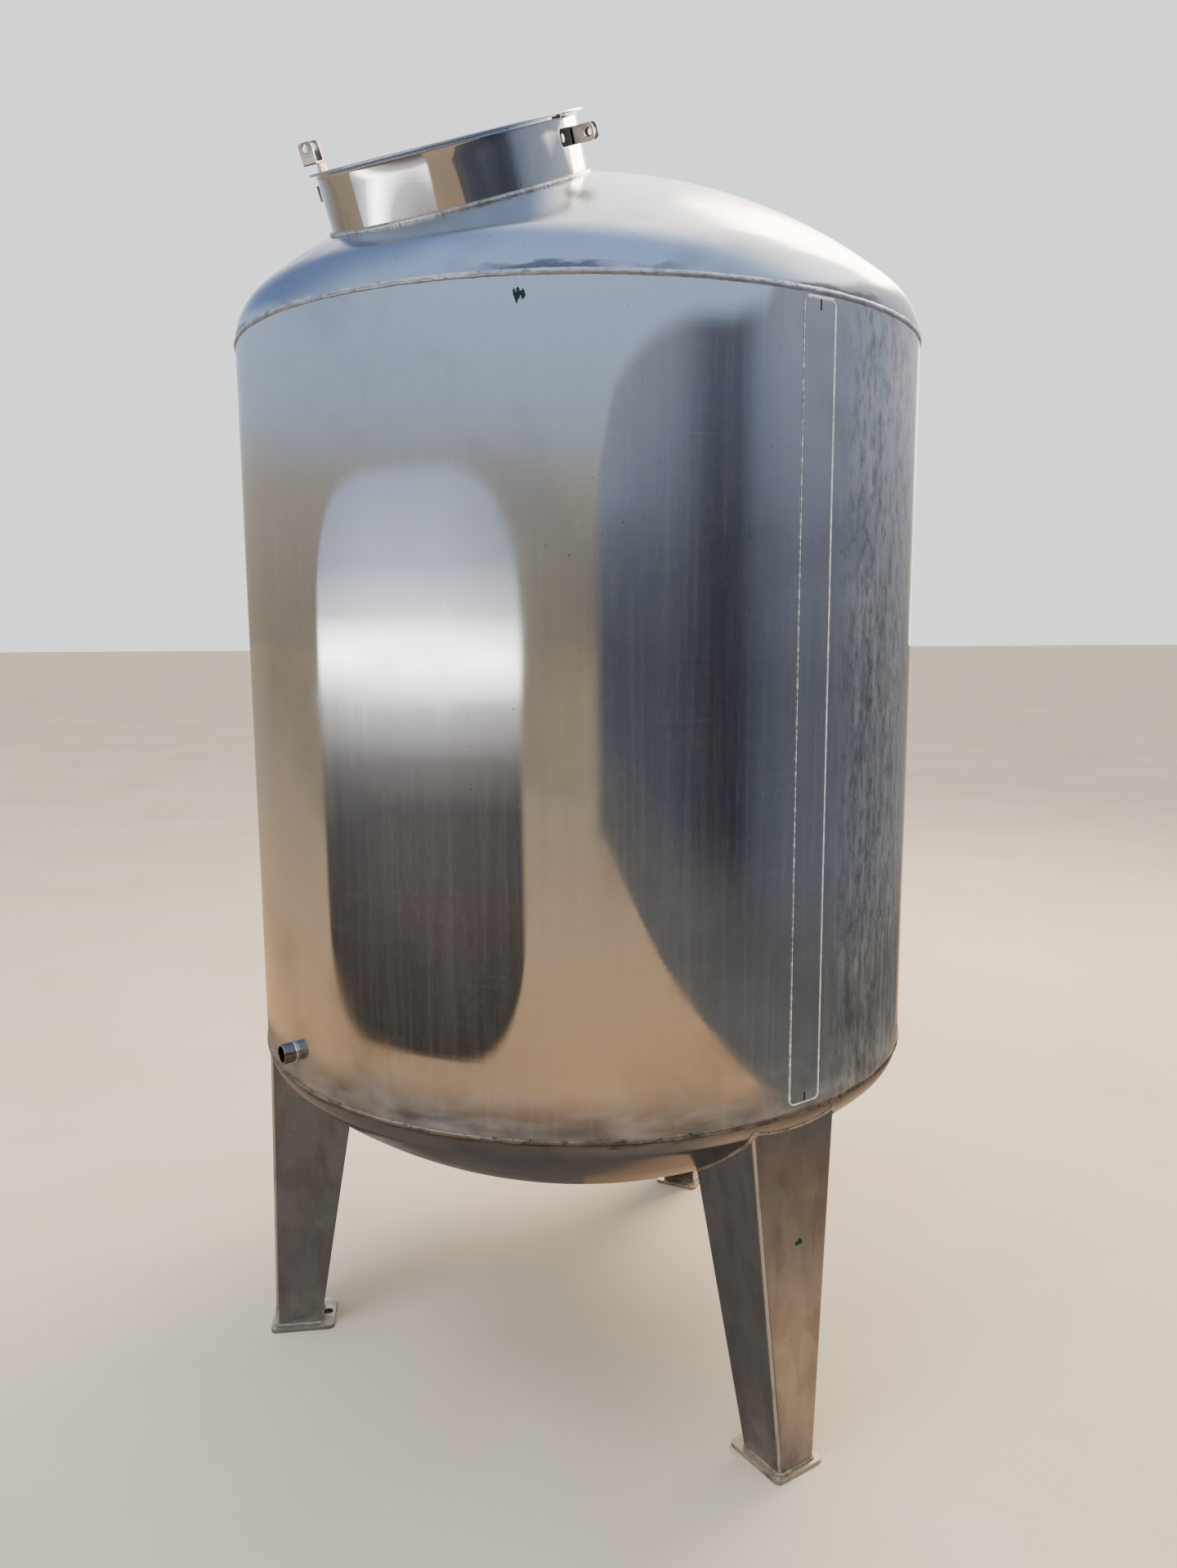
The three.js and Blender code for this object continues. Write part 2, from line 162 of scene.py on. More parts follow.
class Workpiece:
    """One mesh on the bench, shaped with Blender's own modelling operators."""

    def __init__(self, name: str) -> None:
        """Takes the object that was just added and names it.

        Args:
            name: The piece's name.
        """
        self.piece = bpy.context.active_object
        self.piece.name = name
        self.piece.data.name = name
        bpy.ops.object.transform_apply(location=True, rotation=True, scale=True)

    @classmethod
    def at_point(cls, name: str, point: Sequence[float]) -> "Workpiece":
        """Starts a piece as a single vertex.

        Args:
            name: The piece's name.
            point: Where the vertex lies, in millimetres.

        Returns:
            The workpiece, with its vertex selected.
        """
        deselect_all()
        bpy.ops.mesh.primitive_plane_add(size=MM, location=metres(point))
        made = cls(name)
        made.edit()
        bpy.ops.mesh.merge(type="CENTER")
        made.rest()
        return made

    @classmethod
    def block(cls, name: str, low: Solid, high: Solid) -> "Workpiece":
        """Starts a piece as a block between two corners, in millimetres.

        Args:
            name: The piece's name.
            low: Its lowest corner.
            high: Its highest corner.

        Returns:
            The workpiece.
        """
        deselect_all()
        middle = (metres(low) + metres(high)) / 2
        bpy.ops.mesh.primitive_cube_add(size=1, location=middle, scale=metres(high) - metres(low))
        return cls(name)

    @classmethod
    def sheet(cls, name: str, middle: Solid, size: Solid, tilt: float = 0.0) -> "Workpiece":
        """Starts a piece as a flat sheet.

        Args:
            name: The piece's name.
            middle: The sheet's middle in millimetres.
            size: Its size along X, Y and Z in millimetres, with METRE square to the sheet.
            tilt: Its turn about X in radians, from lying flat.

        Returns:
            The workpiece.
        """
        deselect_all()
        bpy.ops.mesh.primitive_plane_add(size=1, location=metres(middle), rotation=(tilt, 0, 0))
        bpy.ops.transform.resize(value=metres(size))
        return cls(name)

    @classmethod
    def rod(cls, name: str, radius: float, length: float, steps: int = 48) -> "Workpiece":
        """Starts a piece as a round bar along Z, centred on the origin.

        Args:
            name: The piece's name.
            radius: Its radius in millimetres.
            length: Its length in millimetres.
            steps: Number of its flats.

        Returns:
            The workpiece.
        """
        deselect_all()
        bpy.ops.mesh.primitive_cylinder_add(vertices=steps, radius=radius * MM, depth=length * MM)
        return cls(name)

    @classmethod
    def turned(
        cls,
        name: str,
        outline: Sequence[Flat],
        steps: int = ROUND_STEPS,
        sweep: float = 2 * math.pi,
    ) -> "Workpiece":
        """Spins a closed outline about Z, and closes the ends of a part turn.

        Args:
            name: The piece's name.
            outline: Radius and height of each corner, in millimetres.
            steps: Number of steps round the axis.
            sweep: Angle of the spin in radians.

        Returns:
            The workpiece, closed and facing outwards.
        """
        made = cls.at_point(name, (outline[0][0], 0, outline[0][1]))
        made.draw_out([(radius, 0, height) for radius, height in outline], closed=True)
        made.edit()
        if sweep < 2 * math.pi:
            bpy.ops.mesh.edge_face_add()
        bpy.ops.mesh.spin(steps=steps, angle=sweep, center=(0, 0, 0), axis=(0, 0, -1))
        made.rest()
        made.seal()
        return made

    def activate(self) -> None:
        """Makes this the one selected and active object."""
        deselect_all()
        self.piece.select_set(True)
        bpy.context.view_layer.objects.active = self.piece

    def edit(self) -> None:
        """Enters edit mode with every vertex selected."""
        self.activate()
        bpy.ops.object.mode_set(mode="EDIT")
        bpy.ops.mesh.select_mode(type="VERT")
        bpy.ops.mesh.select_all(action="SELECT")

    def rest(self) -> None:
        """Goes back to object mode."""
        bpy.ops.object.mode_set(mode="OBJECT")

    def draw_out(self, path: Sequence[Sequence[float]], closed: bool = False) -> None:
        """Extrudes the first vertex along a path.

        Args:
            path: Points in millimetres, the first where the vertex is.
            closed: Whether an edge joins the last point to the first.
        """
        self.edit()
        for here, there in zip(path, path[1:]):
            move = metres(there) - metres(here)
            bpy.ops.mesh.extrude_region_move(TRANSFORM_OT_translate={"value": move})
        if closed:
            mesh = bmesh.from_edit_mesh(self.piece.data)
            for vertex in mesh.verts:
                vertex.select = len(vertex.link_edges) == 1
            mesh.select_flush(True)
            bmesh.update_edit_mesh(self.piece.data)
            bpy.ops.mesh.edge_face_add()
        self.rest()

    def seal(self) -> None:
        """Merges doubles and turns every face outwards."""
        self.edit()
        bpy.ops.mesh.remove_doubles(threshold=1e-6)
        bpy.ops.mesh.normals_make_consistent(inside=False)
        self.rest()

    def pick(self, chosen: Callable[[Vector], bool], part: Part = Part.VERTEX) -> None:
        """Selects vertices or edges by their place, and stays in edit mode.

        Args:
            chosen: Says yes to a place in metres: a vertex, or the middle of an edge.
            part: Whether vertices or edges are selected.
        """
        self.edit()
        bpy.ops.mesh.select_mode(type=part.value)
        bpy.ops.mesh.select_all(action="DESELECT")
        mesh = bmesh.from_edit_mesh(self.piece.data)
        if part is Part.VERTEX:
            for vertex in mesh.verts:
                vertex.select_set(chosen(vertex.co))
        else:
            for edge in mesh.edges:
                edge.select_set(chosen((edge.verts[0].co + edge.verts[1].co) / 2))
        bmesh.update_edit_mesh(self.piece.data)

    def push(self, chosen: Callable[[Vector], bool], move: Solid) -> None:
        """Moves the chosen vertices by a step in millimetres.

        Args:
            chosen: Says yes to a place in metres.
            move: The step.
        """
        self.pick(chosen)
        bpy.ops.transform.translate(value=metres(move))
        self.rest()

    def bevel_corners(self, width: float, segments: int = 6) -> None:
        """Rounds the corners of a flat sheet, by its vertices.

        Args:
            width: Width of the bevel in millimetres.
            segments: Number of pieces that the bevel is cut into.
        """
        self.edit()
        bpy.ops.mesh.bevel(offset=width * MM, segments=segments, affect="VERTICES")
        self.rest()

    def bevel_edges(self, chosen: Callable[[Vector], bool], width: float, segments: int = 6) -> None:
        """Rounds the edges whose middles are chosen.

        Args:
            chosen: Says yes to a place in metres.
            width: Width of the bevel in millimetres.
            segments: Number of pieces that the bevel is cut into.
        """
        self.pick(chosen, Part.EDGE)
        bpy.ops.mesh.bevel(offset=width * MM, segments=segments, affect="EDGES")
        self.rest()

    def slice_across(self, points: Sequence[Solid], normal: Solid) -> None:
        """Cuts the mesh at each point, in millimetres, by a plane with this normal.

        Args:
            points: One point of each cut.
            normal: What the cuts are square to.
        """
        self.edit()
        for point in points:
            bpy.ops.mesh.select_all(action="SELECT")
            bpy.ops.mesh.bisect(plane_co=metres(point), plane_no=normal)
        self.rest()

    def extrude(self, move: Solid) -> None:
        """Extrudes the whole outline or sheet by a step in millimetres.

        Args:
            move: The step.
        """
        self.edit()
        bpy.ops.mesh.extrude_region_move(TRANSFORM_OT_translate={"value": metres(move)})
        self.rest()

    def modify(self, kind: str, **settings: object) -> None:
        """Adds one modifier with its settings and applies it.

        Args:
            kind: The modifier's type name.
            settings: The modifier's own properties.
        """
        self.activate()
        bpy.ops.object.modifier_add(type=kind)
        modifier = self.piece.modifiers[-1]
        for name, value in settings.items():
            setattr(modifier, name, value)
        bpy.ops.object.modifier_apply(modifier=modifier.name)

    def join(self, other: "Workpiece", how: Join) -> None:
        """Cuts with another workpiece or welds it on, which uses it up."""
        self.modify("BOOLEAN", object=other.piece, operation=how.value, solver="EXACT")
        other.scrap()

    def copy(self, name: str) -> "Workpiece":
        """Duplicates the piece with its own mesh.

        Args:
            name: The copy's name.

        Returns:
            The copy.
        """
        self.activate()
        bpy.ops.object.duplicate()
        return Workpiece(name)

    def scrap(self) -> None:
        """Deletes the piece."""
        self.activate()
        bpy.ops.object.delete()

    def cut_with_true_sheen(self, cutter: "Workpiece") -> None:
        """Cuts a hole and keeps the sheen of the uncut surface round it.

        Args:
            cutter: The shape of the hole, which is used up.
        """
        whole = self.copy(self.piece.name + "_whole")
        self.join(cutter, Join.CUT)
        self.take_sheen(whole.piece)
        whole.scrap()

    def take_sheen(self, source: bpy.types.Object) -> None:
        """Shades the piece as the nearest part of another surface is shaded."""
        self.modify(
            "DATA_TRANSFER",
            object=source,
            use_loop_data=True,
            data_types_loops={"CUSTOM_NORMAL"},
            loop_mapping="POLYINTERP_NEAREST",
        )

    def ripple(self, grain: float, height: float, depth: int = 2) -> None:
        """Moves the surface in and out by a soft cloud pattern.

        Args:
            grain: Size of the pattern in millimetres.
            height: Whole height of the pattern in millimetres.
            depth: Number of finer layers on top.
        """
        clouds = bpy.data.textures.new(self.piece.name + "_ripple", "CLOUDS")
        clouds.noise_scale = grain * MM
        clouds.noise_depth = depth
        self.modify("DISPLACE", texture=clouds, strength=height * MM, mid_level=0.5)
        bpy.data.textures.remove(clouds)

    def soften(self, width: float, segments: int = 2, angle: float = 35.0) -> None:
        """Breaks the sharp edges with a small bevel and keeps the flats flat to the eye.

        Args:
            width: Width of the bevel in millimetres.
            segments: Number of pieces that the bevel is cut into.
            angle: Edges sharper than this angle in degrees are broken.
        """
        self.modify(
            "BEVEL",
            width=width * MM,
            segments=segments,
            limit_method="ANGLE",
            angle_limit=math.radians(angle),
        )
        self.smooth(50)
        self.modify("WEIGHTED_NORMAL", mode="FACE_AREA", weight=70, keep_sharp=True)

    def smooth(self, angle: float = 35.0) -> None:
        """Shades the surface smooth, apart from edges sharper than an angle in degrees."""
        self.activate()
        bpy.ops.object.shade_smooth_by_angle(angle=math.radians(angle))

    def place(self, matrix: Matrix) -> None:
        """Moves the mesh to its place and leaves the object at the origin.

        Args:
            matrix: The move, in metres.
        """
        self.activate()
        self.piece.matrix_world = matrix @ self.piece.matrix_world
        bpy.ops.object.transform_apply(location=True, rotation=True, scale=True)

    def hand_over(self, material: bpy.types.Material, slot: Slot, *nodes: str) -> bpy.types.Object:
        """Dresses the finished piece and lets it stand for its CAD nodes.

        Args:
            material: The finish that it wears.
            slot: The record's slot of that finish; not used.
            nodes: CAD nodes that the piece stands for.

        Returns:
            The finished object.
        """
        self.piece.data.materials.clear()
        self.piece.data.materials.append(material)
        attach(self.piece, "root")
        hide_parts(*nodes)
        log.info("%s: %d faces", self.piece.name, len(self.piece.data.polygons))
        return self.piece


class Layers:
    """A node tree, and the ways in which patterns and colours are put together in it."""

    def __init__(self, tree: bpy.types.NodeTree) -> None:
        """Starts with an empty tree."""
        self.tree = tree
        self.tree.nodes.clear()

    def add(
        self,
        kind: str,
        inputs: dict | None = None,
        stops: Sequence[tuple[float, object]] = (),
        **settings: object,
    ) -> bpy.types.Node:
        """Adds one node with its settings, its colour stops and its inputs.

        Args:
            kind: The node's type name.
            inputs: Values or output sockets, by input name or number.
            stops: Positions and colours of a colour ramp.
            settings: The node's own properties.

        Returns:
            The new node.
        """
        node = self.tree.nodes.new(kind)
        for name, value in settings.items():
            setattr(node, name, value)
        for place, value in (inputs or {}).items():
            if isinstance(value, bpy.types.NodeSocket):
                self.tree.links.new(value, node.inputs[place])
            else:
                node.inputs[place].default_value = value
        if stops:
            ramp = node.color_ramp
            while len(ramp.elements) < len(stops):
                ramp.elements.new(0.5)
            for element, (position, colour) in zip(ramp.elements, stops):
                element.position = position
                element.color = linear(colour)
        return node

    def overlap(self, *masks: object) -> object:
        """Multiplies masks and shares, which leaves what lies under all of them.

        Args:
            masks: Patterns and numbers.

        Returns:
            Their product.
        """
        shared = masks[0]
        for mask in masks[1:]:
            inputs = {0: shared, 1: mask}
            shared = self.add("ShaderNodeMath", inputs, operation="MULTIPLY").outputs[0]
        return shared

    def weigh(self, *terms: tuple[object, float]) -> object:
        """Adds up values, each with its weight.

        Args:
            terms: Pairs of a pattern or a number and its weight.

        Returns:
            The weighted sum.
        """
        total = None
        for value, weight in terms:
            part = value if weight == 1 else self.overlap(value, weight)
            if total is None:
                total = part
            else:
                inputs = {0: total, 1: part}
                total = self.add("ShaderNodeMath", inputs, operation="ADD").outputs[0]
        return total

    def off(self, value: object, middle: float) -> bpy.types.NodeSocket:
        """Gives how far a value lies from a middle one, to either side."""
        apart = self.weigh((value, 1), (-middle, 1))
        return self.add("ShaderNodeMath", {0: apart}, operation="ABSOLUTE").outputs[0]

    def within(self, *limits: tuple[object, float, float]) -> object:
        """Makes one soft mask out of several limits.

        Args:
            limits: A value, where its mask is still 0, and where it has risen to 1.

        Returns:
            The mask, which is 1 only where every value is past its limit.
        """
        masks = []
        for value, low, high in limits:
            inputs = {"Value": value, "From Min": low, "From Max": high}
            soft = self.add("ShaderNodeMapRange", inputs, interpolation_type="SMOOTHSTEP")
            masks.append(soft.outputs["Result"])
        return self.overlap(*masks)

    def lay(self, under: object, over: object, *shares: object) -> bpy.types.NodeSocket:
        """Lays one colour over another.

        Args:
            under: The colour below, as hex digits or as the layers so far.
            over: The colour on top, in the same way.
            shares: Masks and shares of the top colour, which are multiplied.

        Returns:
            The layers with the new one.
        """
        inputs = {0: self.overlap(*shares), MIX_UNDER: linear(under), MIX_OVER: linear(over)}
        return self.add("ShaderNodeMix", inputs, data_type="RGBA").outputs[MIX_RESULT]


class Surface(Layers):
    """A new material with the object's own coordinates, in metres, and the patterns on them."""

    def __init__(self, name: str) -> None:
        """Makes the material and reads the coordinates.

        Args:
            name: The material's name.
        """
        self.material = bpy.data.materials.new(name)
        self.material.use_nodes = True
        super().__init__(self.material.node_tree)
        self.coordinates = self.add("ShaderNodeTexCoord").outputs["Object"]
        self.x, self.y, self.z = self.add("ShaderNodeSeparateXYZ", {0: self.coordinates}).outputs

    def noise(
        self, grain: Solid, detail: float = 3.0, stretch: float = 0.0, crisp: float = 0.5
    ) -> bpy.types.NodeSocket:
        """Makes a noise whose lumps have a size in millimetres along X, Y and Z.

        Args:
            grain: Size of a lump along each axis.
            detail: Layers of finer noise.
            stretch: Distortion of the pattern.
            crisp: Strength of each finer layer.

        Returns:
            The noise's value.
        """
        scale = tuple(1 / (size * MM) for size in grain)
        mapped = self.add("ShaderNodeMapping", {"Vector": self.coordinates, "Scale": scale})
        inputs = {
            "Vector": mapped.outputs[0],
            "Scale": 1.0,
            "Detail": detail,
            "Distortion": stretch,
            "Roughness": crisp,
        }
        return self.add("ShaderNodeTexNoise", inputs).outputs["Fac"]

    def patches(self, grain: Solid, low: float, high: float, *fineness: float) -> object:
        """Makes soft patches out of a noise.

        Args:
            grain: Size of a patch along each axis, in millimetres.
            low: The noise's value at a patch's edge.
            high: The noise's value where the patch is full.
            fineness: The noise's detail, stretch and crispness, where they aren't the usual ones.

        Returns:
            The patches' mask.
        """
        return self.within((self.noise(grain, *fineness), low, high))

    def azimuth(self) -> object:
        """Gives the azimuth in degrees from -Y towards +X.

        Returns:
            The azimuth's value.
        """
        inputs = {0: self.x, 1: self.overlap(self.y, -1.0)}
        turned = self.add("ShaderNodeMath", inputs, operation="ARCTAN2").outputs[0]
        return self.overlap(turned, 180 / math.pi)

    def fleck(self, colour: object, place: Solid, size: float, paint: str) -> bpy.types.NodeSocket:
        """Lays one ragged fleck of paint over a colour.

        Args:
            colour: The colour under it.
            place: Its middle in millimetres.
            size: Its width in millimetres.
            paint: Its colour.

        Returns:
            The colour with the fleck.
        """
        inputs = {0: self.coordinates, 1: metres(place)}
        near = self.add("ShaderNodeVectorMath", inputs, operation="DISTANCE").outputs["Value"]
        reach = 1.7 * size * MM
        ragged = self.noise((5, 5, 9), 3.0, 0.6)
        inside = self.weigh((ragged, reach), (-0.2 * reach, 1), (near, -1))
        return self.lay(colour, paint, self.within((inside, -0.0004, 0.0006)))

    def steel(
        self,
        colour: object,
        roughness: object,
        reliefs: Sequence[tuple[object, float]],
        bare: object = 1.0,
    ) -> bpy.types.Material:
        """Ends the tree in a metal shader.

        Args:
            colour: Colour of the metal's reflection.
            roughness: The surface's roughness.
            reliefs: Pairs of a height from 0 to 1 and its depth in millimetres, each on the last.
            bare: Share of the metal that no dust hides.

        Returns:
            The finished material.
        """
        inputs = {"Base Color": colour, "Metallic": bare, "Roughness": roughness}
        for height, depth in reliefs:
            relief = {"Height": height, "Distance": depth * MM, "Strength": 1.0}
            if "Normal" in inputs:
                relief["Normal"] = inputs["Normal"]
            inputs["Normal"] = self.add("ShaderNodeBump", relief).outputs[0]
        shader = self.add("ShaderNodeBsdfPrincipled", inputs)
        self.add("ShaderNodeOutputMaterial", {0: shader.outputs[0]})
        return self.material


@dataclass(frozen=True)
class MirrorPolish:
    """Grade 304 stainless sheet, ground and buffed to a mirror.

    It gives the eye a clear image of what stands round the tank, drawn out by the rolled sheet, with
    faint level buffing lines and scratches, a thin cloudy haze, runs of dust, a few dark specks, and
    a scuffed and dirty side.
    """

    name: str = "buffed_304_sheet"
    bright: str = "c9cacb"
    hazed: str = "b2b4b6"
    clear: float = 0.03
    haze: float = 0.26
    line_depth: float = 0.008
    wave_depth: float = 0.55
    film: float = 0.05
    dusty: Flat | None = None
    scuffed: Flat | None = None
    fleck: tuple[Solid, float] | None = None
    slits: tuple[float, tuple[Flat, ...]] | None = None
    speck: str = "3a3733"
    rub: str = "74716c"
    paint: str = "2c4638"
    # Colour of painted shade inside the slits.
    gap: str = "17181b"

    def make(self) -> bpy.types.Material:
        """Builds the finish.

        Returns:
            The material.
        """
        on = Surface(self.name)
        # Haze left by dust and buffing paste lies in clouds 150 to 400 mm across.
        cloud = on.patches((260, 260, 340), 0.47, 0.72, 4.0, 0.4)
        # Buffing lines are some 0.1 mm apart; they are drawn 5 mm apart so that they show.
        lines = on.noise((900, 900, 5))
        streaks = on.patches((24, 24, 520), 0.52, 0.74)
        specks = on.patches((7, 7, 9), 0.735, 0.76, 2.0)
        sparse = on.patches((180, 180, 180), 0.5, 0.62, 2.0)
        colour = on.lay(self.bright, self.hazed, cloud)
        colour = on.lay(colour, self.speck, specks, sparse, 0.6)
        # Rain leaves the dust in upright runs 5 to 15 mm wide, with finer grains between them.
        runs = on.patches((9, 9, 330), 0.4, 0.78, 3.0, 0.3)
        grains = on.patches((6, 6, 14), 0.45, 0.75, 3.0, 0.0, 0.7)
        # Level scratches are some 0.05 mm wide; they are drawn 3 mm wide so that they show.
        scratches = on.patches((110, 110, 3), 0.55, 0.8)
        dust = [(runs, 0.55), (grains, 0.45), (scratches, 0.5)]
        dull = [(cloud, 1), (lines, 0.25)]
        if self.dusty:
            high, low = self.dusty
            sunk = on.within((on.z, high * MM, low * MM))
            settled = on.overlap(sunk, on.patches((90, 90, 34), 0.3, 0.75, 4.0, 0.4))
            dust.append((settled, 4.0))
            dull.append((settled, 1))
        if self.scuffed:
            middle, half = self.scuffed
            near = on.within((on.off(on.azimuth(), middle), half, half * 0.45))
            # Upright smears of dirty water, 5 to 20 mm wide and up to 150 mm long.
            smear = on.patches((18, 18, 120), 0.4, 0.66, 4.0, 0.0, 0.62)
            rubbed = on.patches((13, 13, 30), 0.42, 0.68, 4.0, 0.0, 0.66)
            spots = on.patches((8, 8, 11), 0.56, 0.7, 3.0, 0.0, 0.6)
            either = on.add("ShaderNodeMath", {0: smear, 1: spots}, operation="MAXIMUM")
            marks = on.overlap(near, either.outputs[0])
            rubs = on.overlap(near, rubbed)
            colour = on.lay(colour, self.rub, rubs, 0.62)
            dust.append((marks, 2.8))
            dull += [(marks, 0.8), (rubs, 0.5)]
        if self.fleck:
            colour = on.fleck(colour, *self.fleck, self.paint)
        # The slits aren't modelled: each is drawn as a dark line in the gap colour, which is painted
        # shade.
        if self.slits:
            middle, heights = self.slits
            aside = on.off(on.azimuth(), middle)
            for low, high in heights:
                above = (on.z, (low - 1) * MM, low * MM)
                below = (on.z, (high + 1) * MM, high * MM)
                cut = on.within((aside, 0.19, 0.09), above, below)
                colour = on.lay(colour, self.gap, cut)
                dull.append((cut, 1.5))
        dull.append((streaks, 0.22))
        inputs = {"Value": on.weigh(*dull), "From Max": 2.0, "To Min": self.clear, "To Max": self.haze}
        rough = on.add("ShaderNodeMapRange", inputs).outputs[0]
        reliefs = [(on.noise((210, 210, 300), 1.0), self.wave_depth), (lines, self.line_depth)]
        bare = on.weigh((1.0, 1), (on.weigh(*dust), -self.film))
        return on.steel(colour, rough, reliefs, bare)


@dataclass(frozen=True)
class SatinDish:
    """Grade 304 stainless plate, cold pressed and spun into a dished end, with a satin skin.

    It spreads the light into one broad soft sheen, with rings from spinning, grey smears, and a dark
    ragged line of soot beside the seam's weld.
    """

    name: str = "spun_304_dish"
    bright: str = "c3c8cf"
    smeared: str = "9aa0a8"
    soot: str = "4a4b4e"
    grime: str = "5a5a5c"
    rough: float = 0.21
    seam: float = SHELL_HEAD
    soot_height: float = 13.0

    def make(self) -> bpy.types.Material:
        """Builds the finish.

        Returns:
            The material.
        """
        on = Surface(self.name)
        cloud = on.patches((170, 170, 90), 0.44, 0.7, 4.0, 0.6)
        # Spinning leaves rings about 1 mm apart; they are drawn 6 mm apart so that they show.
        rings = on.noise((800, 800, 6))
        away = on.off(on.z, self.seam * MM)
        ragged = on.noise((55, 55, 16), 4.0, 0.7)
        inside = on.weigh((ragged, 2 * self.soot_height * MM), (away, -1))
        patchy = on.patches((190, 190, 400), 0.42, 0.58, 2.0)
        soot = on.overlap(on.within((inside, -0.001, 0.004)), patchy, 0.75)
        colour = on.lay(self.bright, self.smeared, cloud, 0.6)
        colour = on.lay(colour, self.soot, soot)
        colour = on.lay(colour, self.grime, on.patches((9, 9, 9), 0.7, 0.74), 0.35)
        dull = on.weigh((cloud, 0.6), (rings, 0.4))
        inputs = {"Value": dull, "To Min": self.rough - 0.05, "To Max": self.rough + 0.12}
        rough = on.add("ShaderNodeMapRange", inputs).outputs[0]
        reliefs = [(on.noise((140, 140, 140), 2.0), 0.5), (rings, 0.012)]
        return on.steel(colour, on.weigh((rough, 1), (soot, 0.2)), reliefs)


@dataclass(frozen=True)
class ColdRolledPlate:
    """Grade 304 stainless plate, cold rolled to a 2B skin, then cut and folded.

    It gives a soft, blurred image of the floor, with faint clouds, long rolling streaks, a few rub
    marks, a painted highlight as a pale line along each fold, and dust near the floor.
    """

    name: str
    azimuth: float
    fold: tuple[Flat, Flat]
    bright: str = "b5b3b0"
    dark: str = "8c8987"
    rub: str = "5f5a55"
    dust: str = "b3a489"
    # Colour of the painted highlight along each fold.
    worn: str = "d2c2aa"
    # Colour of dust with painted sunlight on the foot plate's top.
    top_dust_and_light: str = "b9a68c"
    paint: str = "1f6a4c"
    rough: float = 0.2
    dust_height: float = 130.0
    fleck: tuple[Solid, float] | None = None

    def fold_highlight(self, on: Surface) -> object:
        """Finds the line along each fold that is painted pale: a painted highlight.

        Args:
            on: The material that asks.

        Returns:
            The line's mask.
        """
        (low, low_half), (high, high_half) = self.fold
        inputs = {"Vector": on.coordinates, "Angle": -math.radians(self.azimuth)}
        turned = on.add("ShaderNodeVectorRotate", inputs, rotation_type="Z_AXIS").outputs[0]
        across, out, up = on.add("ShaderNodeSeparateXYZ", {0: turned}).outputs
        slope = (high_half - low_half) / (high - low)
        half_at_floor = (low_half - slope * low) * MM
        inside = on.weigh((up, slope), (half_at_floor, 1), (on.off(across, 0.0), -1))
        line = (on.off(inside, 2.3 * MM), 2.2 * MM, 1.2 * MM)
        return on.within(line, (out, -0.56, -0.57), (up, 0.009, 0.012))

    def make(self) -> bpy.types.Material:
        """Builds the finish.

        Returns:
            The material.
        """
        on = Surface(self.name)
        cloud = on.patches((70, 70, 90), 0.38, 0.7, 4.0, 0.5)
        streak = on.patches((22, 22, 320), 0.42, 0.7, 4.0)
        # Hands and hoists leave dull patches 40 to 60 mm across.
        patch = on.patches((52, 52, 120), 0.47, 0.56, 2.0, 0.3)
        shade = on.weigh((cloud, 0.4), (streak, 0.18), (patch, 0.3))
        rubs = on.patches((9, 9, 60), 0.66, 0.74, 3.0, 1.0)
        low = on.within((on.z, self.dust_height * MM, 0.0))
        dusty = on.overlap(low, on.patches((40, 40, 30), 0.35, 0.65, 4.0))
        # The foot plate's top is laid lighter and tan: dust with painted sunlight on it.
        plate_edge = on.within((on.z, 0.0095, 0.0075))
        top_dust_and_light_mask = on.overlap(plate_edge, on.patches((16, 16, 16), 0.25, 0.6, 4.0))
        # The pale line along each fold is a painted highlight, laid in the worn colour.
        worn = on.overlap(self.fold_highlight(on), on.patches((9, 9, 60), 0.2, 0.5), 0.75)
        colour = on.lay(self.bright, self.dark, shade)
        colour = on.lay(colour, self.rub, rubs, 0.35)
        colour = on.lay(colour, self.dust, dusty, 0.3)
        colour = on.lay(colour, self.top_dust_and_light, top_dust_and_light_mask)
        colour = on.lay(colour, self.worn, worn)
        if self.fleck:
            colour = on.fleck(colour, *self.fleck, self.paint)
        dull = on.weigh((shade, 0.1), (dusty, 0.25), (rubs, 0.12), (self.rough - 0.04, 1))
        rough = on.weigh((dull, 1), (worn, 0.2))
        hidden = on.weigh((worn, 0.45), (dusty, 0.12), (shade, 0.02), (top_dust_and_light_mask, 0.4))
        # The rolled skin's grain is some 0.02 mm; it is drawn 3 mm wide so that it shows.
        reliefs = [(on.noise((130, 130, 240), 2.0), 0.5), (on.noise((3, 3, 3), 2.0), 0.012)]
        return on.steel(colour, rough, reliefs, on.weigh((1.0, 1), (hidden, -1)))


